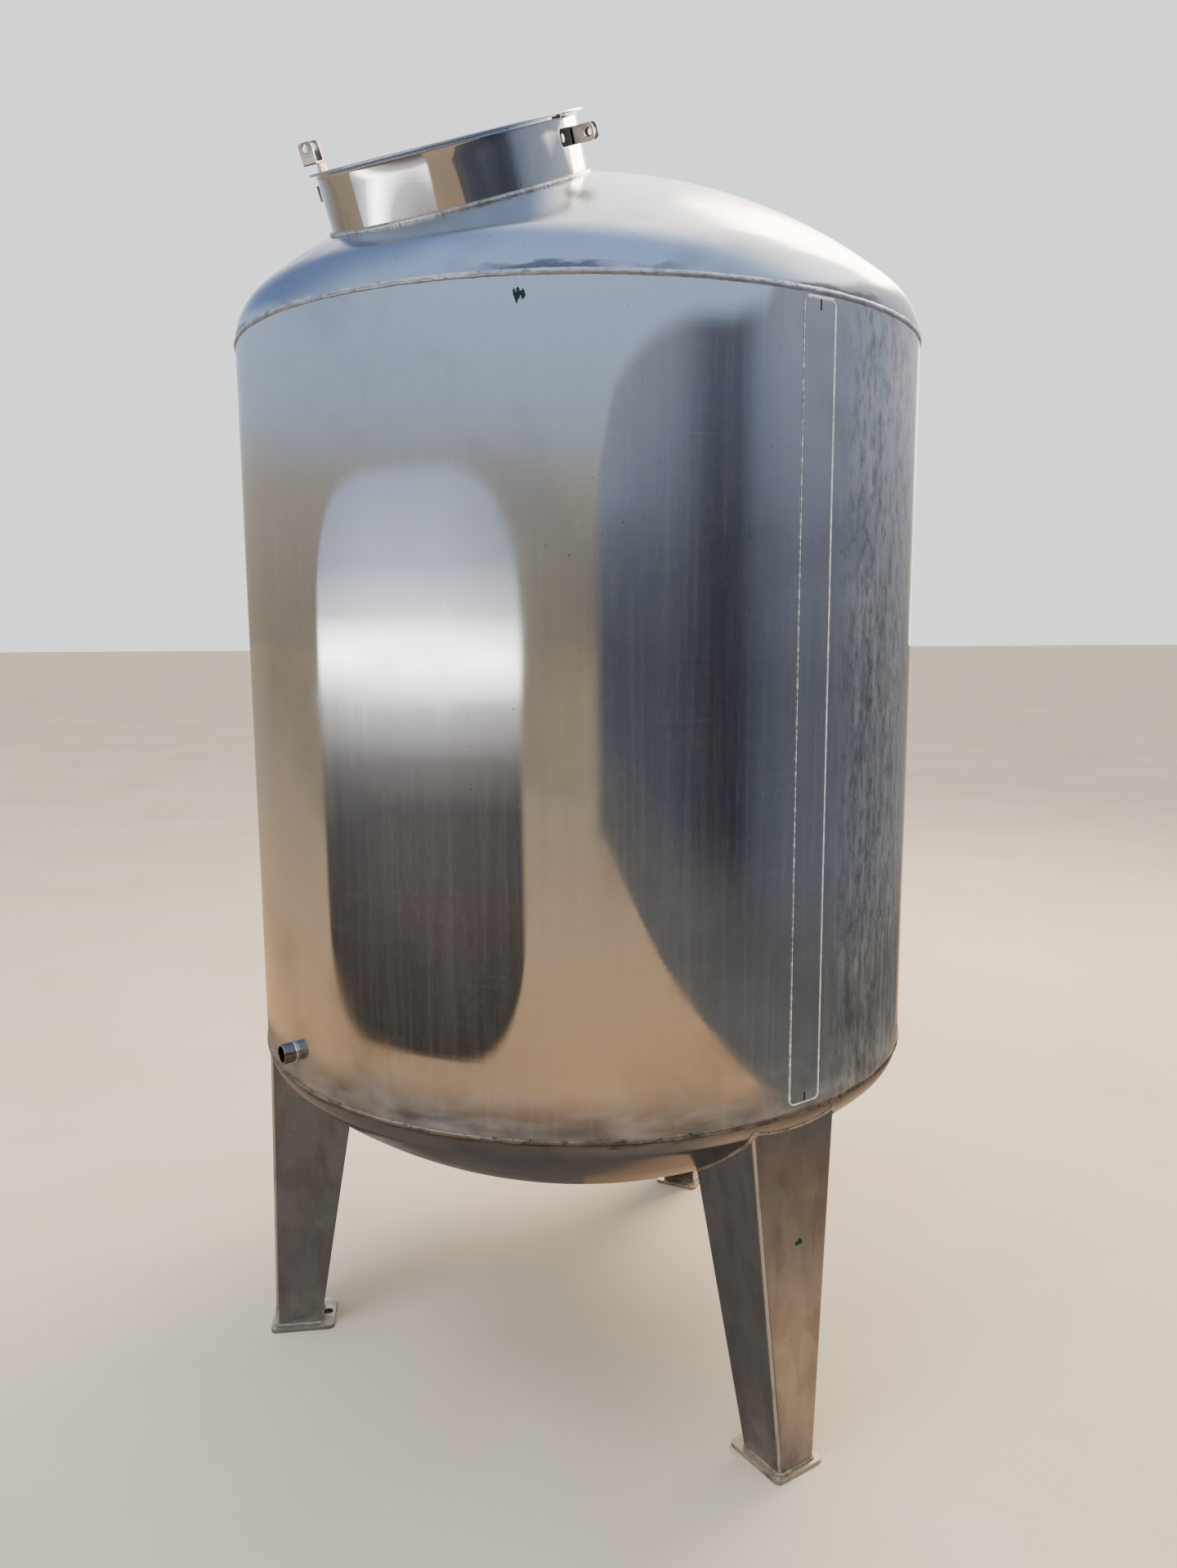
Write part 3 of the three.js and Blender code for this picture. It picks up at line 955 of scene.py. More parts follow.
@dataclass(frozen=True)
class LaidBead:
    """Stainless weld metal, laid by hand with a tungsten arc and only lightly brushed.

    It gives a rough grey line of fused ripples with brown and blue heat tint and black soot patches. A
    seam's bead is bright above its middle and takes the soot colour below it: painted shade.
    """

    name: str = "laid_weld_bead"
    bright: str = "a9a49c"
    tint: str = "6f6358"
    soot: str = "39363a"
    rough: float = 0.42
    bare: float = 0.8
    seam: float | None = None
    lower_shade_share: float = 0.85
    waver: float = 6.0

    def make(self) -> bpy.types.Material:
        """Builds the finish.

        Returns:
            The material.
        """
        on = Surface(self.name)
        heat = on.patches((38, 38, 30), 0.38, 0.66, 4.0, 0.5)
        black = on.patches((11, 11, 7), 0.55, 0.68, 3.0, 0.8)
        colour = on.lay(self.bright, self.tint, heat)
        colour = on.lay(colour, self.soot, black, 0.6)
        # Below a seam bead's middle the soot colour is painted shade.
        if self.seam is not None:
            wavy = on.noise((26, 26, 26), 4.0)
            middle = (self.seam + self.waver / 2) * MM
            below = on.weigh((middle, 1), (on.z, -1), (wavy, -self.waver * MM))
            shaded_lower_half = on.within((below, -0.0004, 0.0012))
            colour = on.lay(colour, self.soot, shaded_lower_half, self.lower_shade_share)
        rough = on.weigh((black, 0.25), (self.rough - 0.08, 1))
        # A ripple is about 1.5 mm long; it is drawn 3 mm long so that it shows.
        return on.steel(colour, rough, [(on.noise((3, 3, 4), 2.0), 0.35)], self.bare)


@dataclass(frozen=True)
class CutPlate:
    """Stainless plate, sheared, drilled and flattened with a fibre disc.

    It gives a dull silver with short fine grinding marks and darker patches.
    """

    name: str = "ground_cut_plate"
    bright: str = "96908b"
    dark: str = "6d6864"
    rough: float = 0.36

    def make(self) -> bpy.types.Material:
        """Builds the finish.

        Returns:
            The material.
        """
        on = Surface(self.name)
        worn = on.patches((30, 30, 30), 0.42, 0.7, 5.0, 0.4)
        # Disc marks are 0.2 mm apart; they are drawn 1.5 mm apart so that they show.
        marks = on.noise((24, 24, 1.5), 2.0)
        colour = on.lay(self.bright, self.dark, worn)
        rough = on.weigh((worn, 0.12), (self.rough - 0.04, 1), (marks, 0.08))
        return on.steel(colour, rough, [(on.noise((24, 24, 24), 1.0), 0.05)])


@dataclass(frozen=True)
class PaleFloor:
    """Plain pale cement floor, floated flat: a matt warm off-white with hardly any pattern.

    Gloss sees it as dusty tan ground instead, a painted reflection: greyer with painted shade where the
    tank's own shade falls, and paler with a painted sunlit patch round the front right leg.
    """

    name: str = "pale_cement_floor"
    colour: str = "e2d6c4"
    shade: str = "dccfbb"
    # Painted reflection of ground by distance from the tank in metres; the grey stops near it are painted
    # shade.
    mirrored: tuple[Shade, ...] = (
        (0.6, "7c7671"),
        (1.45, "776c61"),
        (1.98, "5f574f"),
        (2.2, "ae8e6c"),
        (3.6, "ad9478"),
        (7.0, "a89a85"),
    )
    sunlit: str = "a8927b"

    def make(self) -> bpy.types.Material:
        """Builds the finish.

        Returns:
            The material.
        """
        on = Surface(self.name)
        seen = on.lay(self.colour, self.shade, on.patches((700, 700, 700), 0.35, 0.7, 4.0))
        away = on.add("ShaderNodeVectorMath", {0: on.coordinates}, operation="LENGTH").outputs["Value"]
        reach = self.mirrored[-1][0]
        stops = [(at / reach, colour) for at, colour in self.mirrored]
        painted_ground_reflection = on.add("ShaderNodeValToRGB", {0: on.overlap(away, 1 / reach)}, stops).outputs[0]
        # Painted sunlit patch beside the front right leg.
        painted_ground_reflection = on.lay(painted_ground_reflection, self.sunlit, on.within((on.azimuth(), 30.0, 46.0), (away, 1.35, 0.8)))
        gloss = on.add("ShaderNodeLightPath").outputs["Is Glossy Ray"]
        shader = on.add("ShaderNodeBsdfDiffuse", {"Color": on.lay(seen, painted_ground_reflection, gloss)})
        on.add("ShaderNodeOutputMaterial", {0: shader.outputs[0]})
        return on.material


@dataclass(frozen=True)
class DishedForm:
    """The form of a dished end: a crown arc that runs into a smaller knuckle arc."""

    crown: float
    knuckle: float
    edge: float
    up: float

    def crown_centre(self) -> float:
        """Gives the height of the crown's centre above the end's edge, below it as a minus."""
        across = SHELL_RADIUS - self.knuckle
        return -math.sqrt((self.crown - self.knuckle) ** 2 - across**2)

    def outline(self, offset: float, knuckle_steps: int, crown_steps: int) -> list[Flat]:
        """Lists the form's corners from its edge to its apex.

        Args:
            offset: How far outwards the outline is moved.
            knuckle_steps: Pieces of the knuckle arc.
            crown_steps: Pieces of the crown arc.

        Returns:
            Radius and height of each corner.
        """
        low = self.crown_centre()
        across = SHELL_RADIUS - self.knuckle
        joint = math.atan2(-low, across)
        corners = arc((across, 0), self.knuckle + offset, 0, joint, knuckle_steps)
        corners += arc((0, low), self.crown + offset, joint, math.pi / 2, crown_steps)[1:]
        corners[-1] = (0.0, corners[-1][1])
        return [(radius, self.edge + self.up * height) for radius, height in corners]

    def radius_at(self, height: float) -> float:
        """Gives the outer radius at a height.

        Args:
            height: Height above the floor.

        Returns:
            The radius there.
        """
        rise = self.up * (height - self.edge)
        low = self.crown_centre()
        across = SHELL_RADIUS - self.knuckle
        joint = self.knuckle * math.sin(math.atan2(-low, across))
        if rise <= 0:
            return SHELL_RADIUS
        if rise < joint:
            return across + math.sqrt(self.knuckle**2 - rise**2)
        return math.sqrt(max(self.crown**2 - (rise - low) ** 2, 0.0))


TOP_FORM = DishedForm(crown=880, knuckle=96, edge=SHELL_HEAD, up=1)
BOTTOM_FORM = DishedForm(crown=860, knuckle=50, edge=SHELL_FOOT, up=-1)


@dataclass(frozen=True)
class Lug:
    """A U lug whose back lies on X = 0, whose plates run along X and whose pin runs along Y."""

    half: float = 13.0
    plate: float = 4.0
    depth: float = 24.0
    reach: float = 33.0
    corner: float = 7.0
    back_corner: float = 2.5
    pin: float = 6.0
    pin_inset: float = 9.0

    def cut(self, name: str) -> Workpiece:
        """Cuts the lug out of a block.

        Args:
            name: The piece's name.

        Returns:
            The lug, with round corners, a pin hole and broken edges.
        """
        half, depth, reach = self.half, self.depth, self.reach
        lug = Workpiece.block(name, (0, -half, 0), (reach, half, depth))
        side, near = half * MM, 1e-6
        lug.bevel_edges(lambda at: abs(at.y) < MM and at.x > (reach - 1) * MM, self.corner)
        lug.bevel_edges(lambda at: abs(abs(at.y) - side) < near and at.x < near, self.back_corner, 3)
        gap = half - self.plate
        slot = Workpiece.block("slot", (self.plate, -gap, -5), (reach + 9, gap, depth + 5))
        lug.join(slot, Join.CUT)
        hole = Workpiece.rod("pin_hole", self.pin, 60, 40)
        middle = Matrix.Translation(metres((reach - self.pin_inset, 0, depth / 2)))
        hole.place(middle @ Matrix.Rotation(math.pi / 2, 4, "X"))
        lug.join(hole, Join.CUT)
        lug.seal()
        lug.soften(0.7, angle=50)
        return lug


@dataclass
class Manway:
    """The open manway: a slanted collar with a flared lip, its bead, and the lugs of its lost cover."""

    x: float = -186.0
    y: float = -309.0
    radius: float = 202.0
    wall: float = 4.0
    inside: float = -30.0
    top: float = 62.5
    lip_radius: float = 213.3
    lip_bend: float = 6.0
    steps: int = 192
    bead_radius: float = 4.2
    clamp_azimuth: float = -17.0
    clamp_low: float = 17.0
    hinge_azimuth: float = 160.0
    hinge_inner: float = 221.0
    hinge_low: float = 75.9
    pad: Flat = (150.0, 185.0)
    pad_heights: Flat = (24.0, 46.0)
    pad_wall: Flat = (0.2, 5.0)
    stem: Solid = (217.0, 223.0, 20.0)
    stem_heights: Flat = (28.0, 75.7)
    foot_top: float = 42.0

    def matrix(self) -> Matrix:
        """Gives the collar's frame, with its local Z square to the crown.

        Returns:
            The frame in metres.
        """
        middle = Vector((0, 0, SHELL_HEAD + TOP_FORM.crown_centre()))
        rise = math.sqrt(TOP_FORM.crown**2 - self.x**2 - self.y**2)
        base = middle + Vector((self.x, self.y, rise))
        axis = (base - middle).normalized()
        right = (Vector((1, 0, 0)) - axis * axis.x).normalized()
        away = axis.cross(right)
        turn = Matrix((right, away, axis)).transposed().to_4x4()
        return Matrix.Translation(base * MM) @ turn

    def cutter(self) -> Workpiece:
        """Makes the round bar that cuts the collar's hole in the top end.

        Returns:
            The bar.
        """
        bar = Workpiece.rod("manway_cutter", self.radius + 0.3, 240, 192)
        bar.place(self.matrix())
        return bar

    def foot_height(self) -> float:
        """Gives how far below the collar's origin the crown meets the collar's wall."""
        return math.sqrt(TOP_FORM.crown**2 - self.radius**2) - TOP_FORM.crown

    def collar(self) -> Workpiece:
        """Spins the collar with its flared lip.

        Returns:
            The collar.
        """
        low = self.top - self.wall - self.lip_bend
        centre = (self.radius + self.lip_bend, low)
        bend = arc(centre, self.lip_bend, math.pi, math.pi / 2, 6)
        edge = arc((self.lip_radius - 2, self.top - 2), 2, -math.pi / 2, math.pi / 2, 6)
        inner_bend = arc(centre, self.lip_bend + self.wall, math.pi / 2, math.pi, 8)
        inner = self.radius - self.wall
        outline = [
            *level((inner, self.inside), (self.radius, self.inside), 1),
            *level((self.radius, self.inside), bend[0], 6),
            *bend,
            *edge,
            *inner_bend,
            *level((inner, low - 1), (inner, self.inside), 6),
        ]
        piece = Workpiece.turned("manway_collar", outline, self.steps)
        piece.place(self.matrix())
        piece.ripple(120, 0.35)
        piece.smooth(40)
        return piece

    def foot_bead(self) -> Workpiece:
        """Spins the even bead at the collar's foot.

        Returns:
            The bead.
        """
        height = self.foot_height()
        centre = (self.radius + 1.2, height + 0.8)
        ring = arc(centre, self.bead_radius, 0, 2 * math.pi, 14)[:-1]
        piece = Workpiece.turned("manway_collar_bead", ring, 600)
        piece.place(self.matrix())
        piece.ripple(4, 1.3)
        piece.smooth(60)
        return piece

    def hinge_arm(self) -> Workpiece:
        """Welds up the hinge's curved pad, its foot and its stem.

        Returns:
            The arm.
        """
        start, end = self.pad
        near, far = (self.radius + off for off in self.pad_wall)
        floor, roof = self.pad_heights
        outline = [(near, floor), (far, floor), (far, roof), (near, roof)]
        pad = Workpiece.turned("hinge_arm", outline, 16, sweep=math.radians(end - start))
        pad.place(turn_to(start))
        inner, outer, width = self.stem
        low, high = self.stem_heights
        half = width / 2
        foot_end = (outer - 1, half, self.foot_top)
        foot = Workpiece.block("hinge_foot", (self.radius + 2, -half, low), foot_end)
        stem = Workpiece.block("hinge_stem", (inner, -half, low), (outer, half, high))
        for bar in (foot, stem):
            bar.place(turn_to(self.hinge_azimuth))
            pad.join(bar, Join.WELD)
        pad.seal()
        pad.soften(0.6)
        pad.place(self.matrix())
        return pad

    def clamp_lug(self) -> Workpiece:
        """Sets the clamp's lug on the collar, pointing outwards.

        Returns:
            The lug.
        """
        lug = Lug().cut("clamp_lug")
        out = Matrix.Translation(metres((self.radius + 0.3, 0, self.clamp_low)))
        lug.place(self.matrix() @ turn_to(self.clamp_azimuth) @ out)
        return lug

    def hinge_lug(self) -> Workpiece:
        """Sets the hinge's lug on its stem, standing up.

        Returns:
            The lug.
        """
        lug = Lug().cut("hinge_lug")
        up = Matrix.Rotation(-math.pi / 2, 4, "Y")
        out = Matrix.Translation(metres((self.hinge_inner + 24, 0, self.hinge_low)))
        lug.place(self.matrix() @ turn_to(self.hinge_azimuth) @ out @ up)
        return lug

    def build(self) -> None:
        """Makes and dresses every piece of the manway."""
        mirror = MirrorPolish(name="buffed_304_collar", haze=0.08, wave_depth=0.25, film=0.02)
        plate = CutPlate().make()
        bead = LaidBead(
            name="brushed_collar_bead", bright="c2bfb9", tint="98928a", soot="5a5654", rough=0.34
        )
        self.collar().hand_over(mirror.make(), Slot.MIRROR, "manway_neck")
        self.foot_bead().hand_over(bead.make(), Slot.WELD, "manway_neck_weld")
        self.hinge_arm().hand_over(plate, Slot.BRACKET, "hinge_bracket")
        self.hinge_lug().hand_over(plate, Slot.BRACKET, "hinge_clip")
        self.clamp_lug().hand_over(plate, Slot.BRACKET, "clamp_clip")


@dataclass
class Body:
    """The tank's body: one rolled shell, two dished ends and the weld bead round each seam."""

    wall: float = 3.0
    end_wall: float = 4.0
    row: float = 20.0
    bead_rise: float = 2.3
    bead_half: float = 4.5

    def shell(self, drain: "Drain") -> Workpiece:
        """Rolls the shell and drills the drain's hole.

        Args:
            drain: The drain, which gives the hole.

        Returns:
            The shell.
        """
        low, high = SHELL_FOOT + 0.3, SHELL_HEAD - 0.3
        inner = SHELL_RADIUS - self.wall
        rows = round((high - low) / self.row)
        hem = 1.5
        outline = [
            (SHELL_RADIUS, low),
            *level((SHELL_RADIUS, low + hem), (SHELL_RADIUS, high - hem), rows),
            (SHELL_RADIUS, high - hem),
            (SHELL_RADIUS, high),
            *level((inner, high), (inner, low), 6),
            (inner, low),
        ]
        piece = Workpiece.turned("mirror_shell", outline)
        piece.ripple(330, 0.9, 1)
        piece.smooth(40)
        piece.cut_with_true_sheen(drain.hole())
        return piece

    def dish(self, name: str, form: DishedForm) -> Workpiece:
        """Spins a dished end with its wall.

        Args:
            name: The piece's name.
            form: The end's form.

        Returns:
            The end.
        """
        outside = form.outline(0, 14, 34)
        hem = (outside[0][0], outside[0][1] + form.up * 1.5)
        inside = form.outline(-self.end_wall, 6, 16)[::-1]
        piece = Workpiece.turned(name, [outside[0], hem, *outside[1:], *inside])
        piece.ripple(240, 0.8, 1)
        piece.smooth(40)
        return piece

    def bead(self, name: str, height: float) -> Workpiece:
        """Lays the bead round a seam.

        Args:
            name: The piece's name.
            height: Height of the seam.

        Returns:
            The bead.
        """
        turns = [i * math.pi / 8 for i in range(16)]
        ring = [
            (SHELL_RADIUS + self.bead_rise * math.cos(a), height + self.bead_half * math.sin(a))
            for a in turns
        ]
        piece = Workpiece.turned(name, ring, 720)
        piece.ripple(26, 1.0)
        piece.ripple(6, 1.5)
        piece.smooth(60)
        return piece

    def build(self, drain: "Drain", manway: Manway) -> None:
        """Makes and dresses the shell, the ends and the seams' beads.

        Args:
            drain: The drain, which pierces the shell.
            manway: The manway, which pierces the top end.
        """
        fleck = ((-78.0, -595.0, 1804.0), 14.0)
        sheet = MirrorPolish(dusty=(735.0, 612.0), scuffed=(56.0, 19.0), fleck=fleck).make()
        self.shell(drain).hand_over(sheet, Slot.MIRROR, "shell_wall")
        top = self.dish("dished_top_end", TOP_FORM)
        top.cut_with_true_sheen(manway.cutter())
        top.hand_over(SatinDish().make(), Slot.SATIN, "top_head")
        # The under end is the same spun plate in darker, warmer colours: painted shade.
        under = SatinDish(
            name="spun_304_under_dish",
            bright="a8a6a3",
            smeared="82807d",
            rough=0.2,
            seam=SHELL_FOOT,
            soot_height=9,
        )
        bottom = self.dish("dished_bottom_end", BOTTOM_FORM)
        bottom.hand_over(under.make(), Slot.SATIN, "bottom_head")
        # The top seam's pale blue-grey metal is a painted reflection of the sky; the bottom seam's darker
        # brown metal is painted shade.
        top_metal = LaidBead(
            name="top_seam_metal",
            bright="c6cad0",
            tint="9aa0ab",
            soot="5b6172",
            bare=0.6,
            seam=SHELL_HEAD,
            lower_shade_share=0.6,
        )
        low_metal = LaidBead(
            name="bottom_seam_metal",
            bright="8e8375",
            tint="695e53",
            soot="2e2823",
            rough=0.5,
            bare=0.75,
            seam=SHELL_FOOT - 2.5,
        )
        top_bead = self.bead("top_seam_bead", SHELL_HEAD)
        top_bead.hand_over(top_metal.make(), Slot.WELD, "top_seam_weld")
        low_bead = self.bead("bottom_seam_bead", SHELL_FOOT)
        low_bead.hand_over(low_metal.make(), Slot.WELD, "bottom_seam_weld")


@dataclass(frozen=True)
class HandBead:
    """A weld bead laid by hand along a path, with a rough skin."""

    radius: float
    rough: float = 1.2
    grain: float = 4.0
    step: float = 2.0

    def lay(
        self,
        name: str,
        path: Sequence[Solid],
        closed: bool = False,
        share: Callable[[Vector], float] | None = None,
    ) -> Workpiece:
        """Lays the bead.

        Args:
            name: The piece's name.
            path: Corners of the path in millimetres.
            closed: Whether the path ends where it starts.
            share: Gives a place's share of the bead's radius.

        Returns:
            The bead as a closed mesh.
        """
        fine = self.refine([Vector(p) for p in path], closed)
        made = Workpiece.at_point(name, fine[0])
        made.draw_out(fine, closed)
        made.activate()
        bpy.ops.object.convert(target="CURVE")
        curve = bpy.context.active_object.data
        curve.bevel_depth = self.radius * MM
        curve.bevel_resolution = 2
        curve.use_fill_caps = True
        for spline in curve.splines:
            for point in spline.points:
                point.radius = share(point.co.xyz) if share else 1.0
        bpy.ops.object.convert(target="MESH")
        bead = Workpiece(name)
        bead.seal()
        bead.ripple(self.grain, self.rough)
        bead.smooth(60)
        return bead

    def refine(self, path: list[Vector], closed: bool) -> list[Vector]:
        """Cuts each stretch of a path into even short steps.

        Args:
            path: Corners of the path.
            closed: Whether a last stretch goes back to the first corner.

        Returns:
            The finer path.
        """
        ends = path[1:] + path[:1] if closed else path[1:]
        fine: list[Vector] = []
        for here, there in zip(path, ends):
            pieces = max(1, round((there - here).length / self.step))
            fine += [here.lerp(there, i / pieces) for i in range(pieces)]
        return fine if closed else [*fine, path[-1]]


@dataclass
class CoverStrip:
    """The strip over the shell's upright joint, and the thin bead round it."""

    azimuth: float = 34.85
    width: float = 60.0
    bottom: float = 628.0
    top: float = 1822.0
    thickness: float = 1.7
    corner: float = 9.0
    bead: HandBead = HandBead(1.35, 0.5, 6.0)
    column: float = 5.0
    row: float = 20.0
    last_row: float = 15.0
    slits: tuple[Flat, ...] = ((629.0, 643.0), (1806.0, 1820.0))

    def wrap(self, across: float, height: float, lift: float) -> Solid:
        """Gives a place on the shell beside the strip's middle line.

        Args:
            across: Distance from the middle line, measured along the shell.
            height: Height above the floor.
            lift: Distance out of the shell.

        Returns:
            The place.
        """
        angle = math.radians(self.azimuth) + across / SHELL_RADIUS
        radius = SHELL_RADIUS + lift
        return (radius * math.sin(angle), -radius * math.cos(angle), height)

    def strip(self, shell: bpy.types.Object) -> Workpiece:
        """Cuts the strip with its round corners and lays it on the shell.

        Args:
            shell: The shell that carries it.

        Returns:
            The strip.
        """
        half = self.width / 2
        middle = (self.bottom + self.top) / 2
        size = (self.width, METRE, self.top - self.bottom)
        place = (0, -SHELL_RADIUS - 9, middle)
        strip = Workpiece.sheet("cover_strip", place, size, math.pi / 2)
        strip.bevel_corners(self.corner)
        columns = round(self.width / self.column)
        rows = int((self.top - self.bottom - self.last_row) / self.row)
        strip.slice_across([(self.column * i - half, 0, 0) for i in range(1, columns)], (1, 0, 0))
        heights = [self.bottom + self.row * (i + 1) for i in range(rows)]
        strip.slice_across([(0, 0, height) for height in heights], (0, 0, 1))
        strip.place(turn_to(self.azimuth))
        strip.modify(
            "SHRINKWRAP", target=shell, wrap_method="NEAREST_SURFACEPOINT", offset=self.thickness * MM
        )
        strip.modify("SOLIDIFY", thickness=(self.thickness - 0.1) * MM, offset=-1)
        strip.seal()
        strip.soften(0.4, angle=60)
        strip.take_sheen(shell)
        return strip

    def edge_bead(self) -> Workpiece:
        """Lays the bead round the strip: fuller on the right, low and broken on the left.

        Returns:
            The bead.
        """
        half = self.width / 2 + 0.6
        low, high, turn = self.bottom - 0.6, self.top + 0.6, self.corner
        corners = [
            ((half - turn, low + turn), -90.0),
            ((half - turn, high - turn), 0.0),
            ((turn - half, high - turn), 90.0),
            ((turn - half, low + turn), 180.0),
        ]
        path: list[Solid] = []
        for centre, start in corners:
            bend = arc(centre, turn, math.radians(start), math.radians(start + 90), 6)
            path += [self.wrap(across, height, 1.0) for across, height in bend]
        middle = math.radians(self.azimuth)

        def share(at: Vector) -> float:
            """Makes the bead fuller or thinner with its place.

            Args:
                at: The place in metres.

            Returns:
                Its share of the bead's radius.
            """
            across = (math.atan2(at.x, -at.y) - middle) * SHELL_RADIUS
            pulse = 0.5 + 0.5 * math.sin(at.z * 410) * math.sin(at.z * 173 + 1.3)
            if at.z > self.top * MM:
                return 1.75 + 0.25 * pulse
            if across < -25:
                fuller_foot = max(0.0, 1.0 - (at.z - 0.63) / 0.25)
                return 0.2 + 0.55 * pulse * pulse + 0.5 * fuller_foot
            return 1.05 + 0.3 * pulse

        return self.bead.lay("cover_strip_bead", path, True, share)

    def build(self, shell: bpy.types.Object) -> None:
        """Makes and dresses the strip and its bead.

        Args:
            shell: The shell that carries them.
        """
        slits = (self.azimuth, self.slits)
        sheet = MirrorPolish(name="buffed_304_strip", clear=0.05, dusty=(735.0, 612.0), slits=slits)
        bead = LaidBead(
            name="thin_strip_bead", bright="f0f0ef", tint="d6d6d5", soot="8d8b89", rough=0.35, bare=0.25
        )
        self.strip(shell).hand_over(sheet.make(), Slot.MIRROR, "closure_strip")
        self.edge_bead().hand_over(bead.make(), Slot.WELD, "closure_strip_weld")


@dataclass
class Drain:
    """The drain: one short open length of polished pipe through the wall, and the bead round it."""

    azimuth: float = -53.4
    height: float = 664.0
    radius: float = 16.9
    bore: float = 13.5
    inner: float = 592.0
    end: float = 622.5
    bead: Flat = (18.6, 2.6)

    def outwards(self) -> Matrix:
        """Gives the drain's frame, with its local Z pointing out of the shell."""
        lift = Matrix.Translation(metres((0, 0, self.height)))
        return turn_to(self.azimuth) @ lift @ Matrix.Rotation(math.pi / 2, 4, "X")

    def hole(self) -> Workpiece:
        """Makes the round bar that drills the shell.

        Returns:
            The bar.
        """
        bar = Workpiece.rod("drain_hole", self.radius + 0.3, 120, 64)
        bar.place(Matrix.Translation(metres((0, 0, SHELL_RADIUS))))
        bar.place(self.outwards())
        return bar

    def pipe(self) -> Workpiece:
        """Cuts the pipe and breaks the edges of its ends.

        Returns:
            The pipe.
        """
        outline = [
            (self.bore, self.inner),
            (self.radius, self.inner),
            (self.radius, self.end),
            (self.bore, self.end),
        ]
        pipe = Workpiece.turned("drain_pipe", outline, 96)
        pipe.soften(0.7, 3)
        pipe.place(self.outwards())
        return pipe

    def ring(self) -> Workpiece:
        """Lays the bead round the pipe where it leaves the wall.

        Returns:
            The bead.
        """
        foot = self.radius - 0.3
        radius, half = self.bead
        turns = [i * math.pi / 6 for i in range(12)]
        outline = [
            (foot + (radius - foot) * math.cos(a), SHELL_RADIUS + 0.6 + half * math.sin(a))
            for a in turns
        ]
        bead = Workpiece.turned("drain_wall_ring", outline, 96)
        bead.place(self.outwards())
        bead.ripple(6, 0.5)
        bead.smooth(60)
        return bead

    def build(self) -> None:
        """Makes and dresses every piece of the drain."""
        polish = MirrorPolish(
            name="buffed_304_pipe",
            bright="b3a28e",
            hazed="9c948a",
            clear=0.08,
            haze=0.26,
            wave_depth=0.04,
            line_depth=0.0,
            film=0.02,
        )
        bead = LaidBead(name="drain_bead", bright="dedcd8", tint="b3ada5", soot="7d7770", rough=0.3)
        self.pipe().hand_over(polish.make(), Slot.MIRROR, "drain_stub")
        self.ring().hand_over(bead.make(), Slot.WELD, "drain_base_weld")


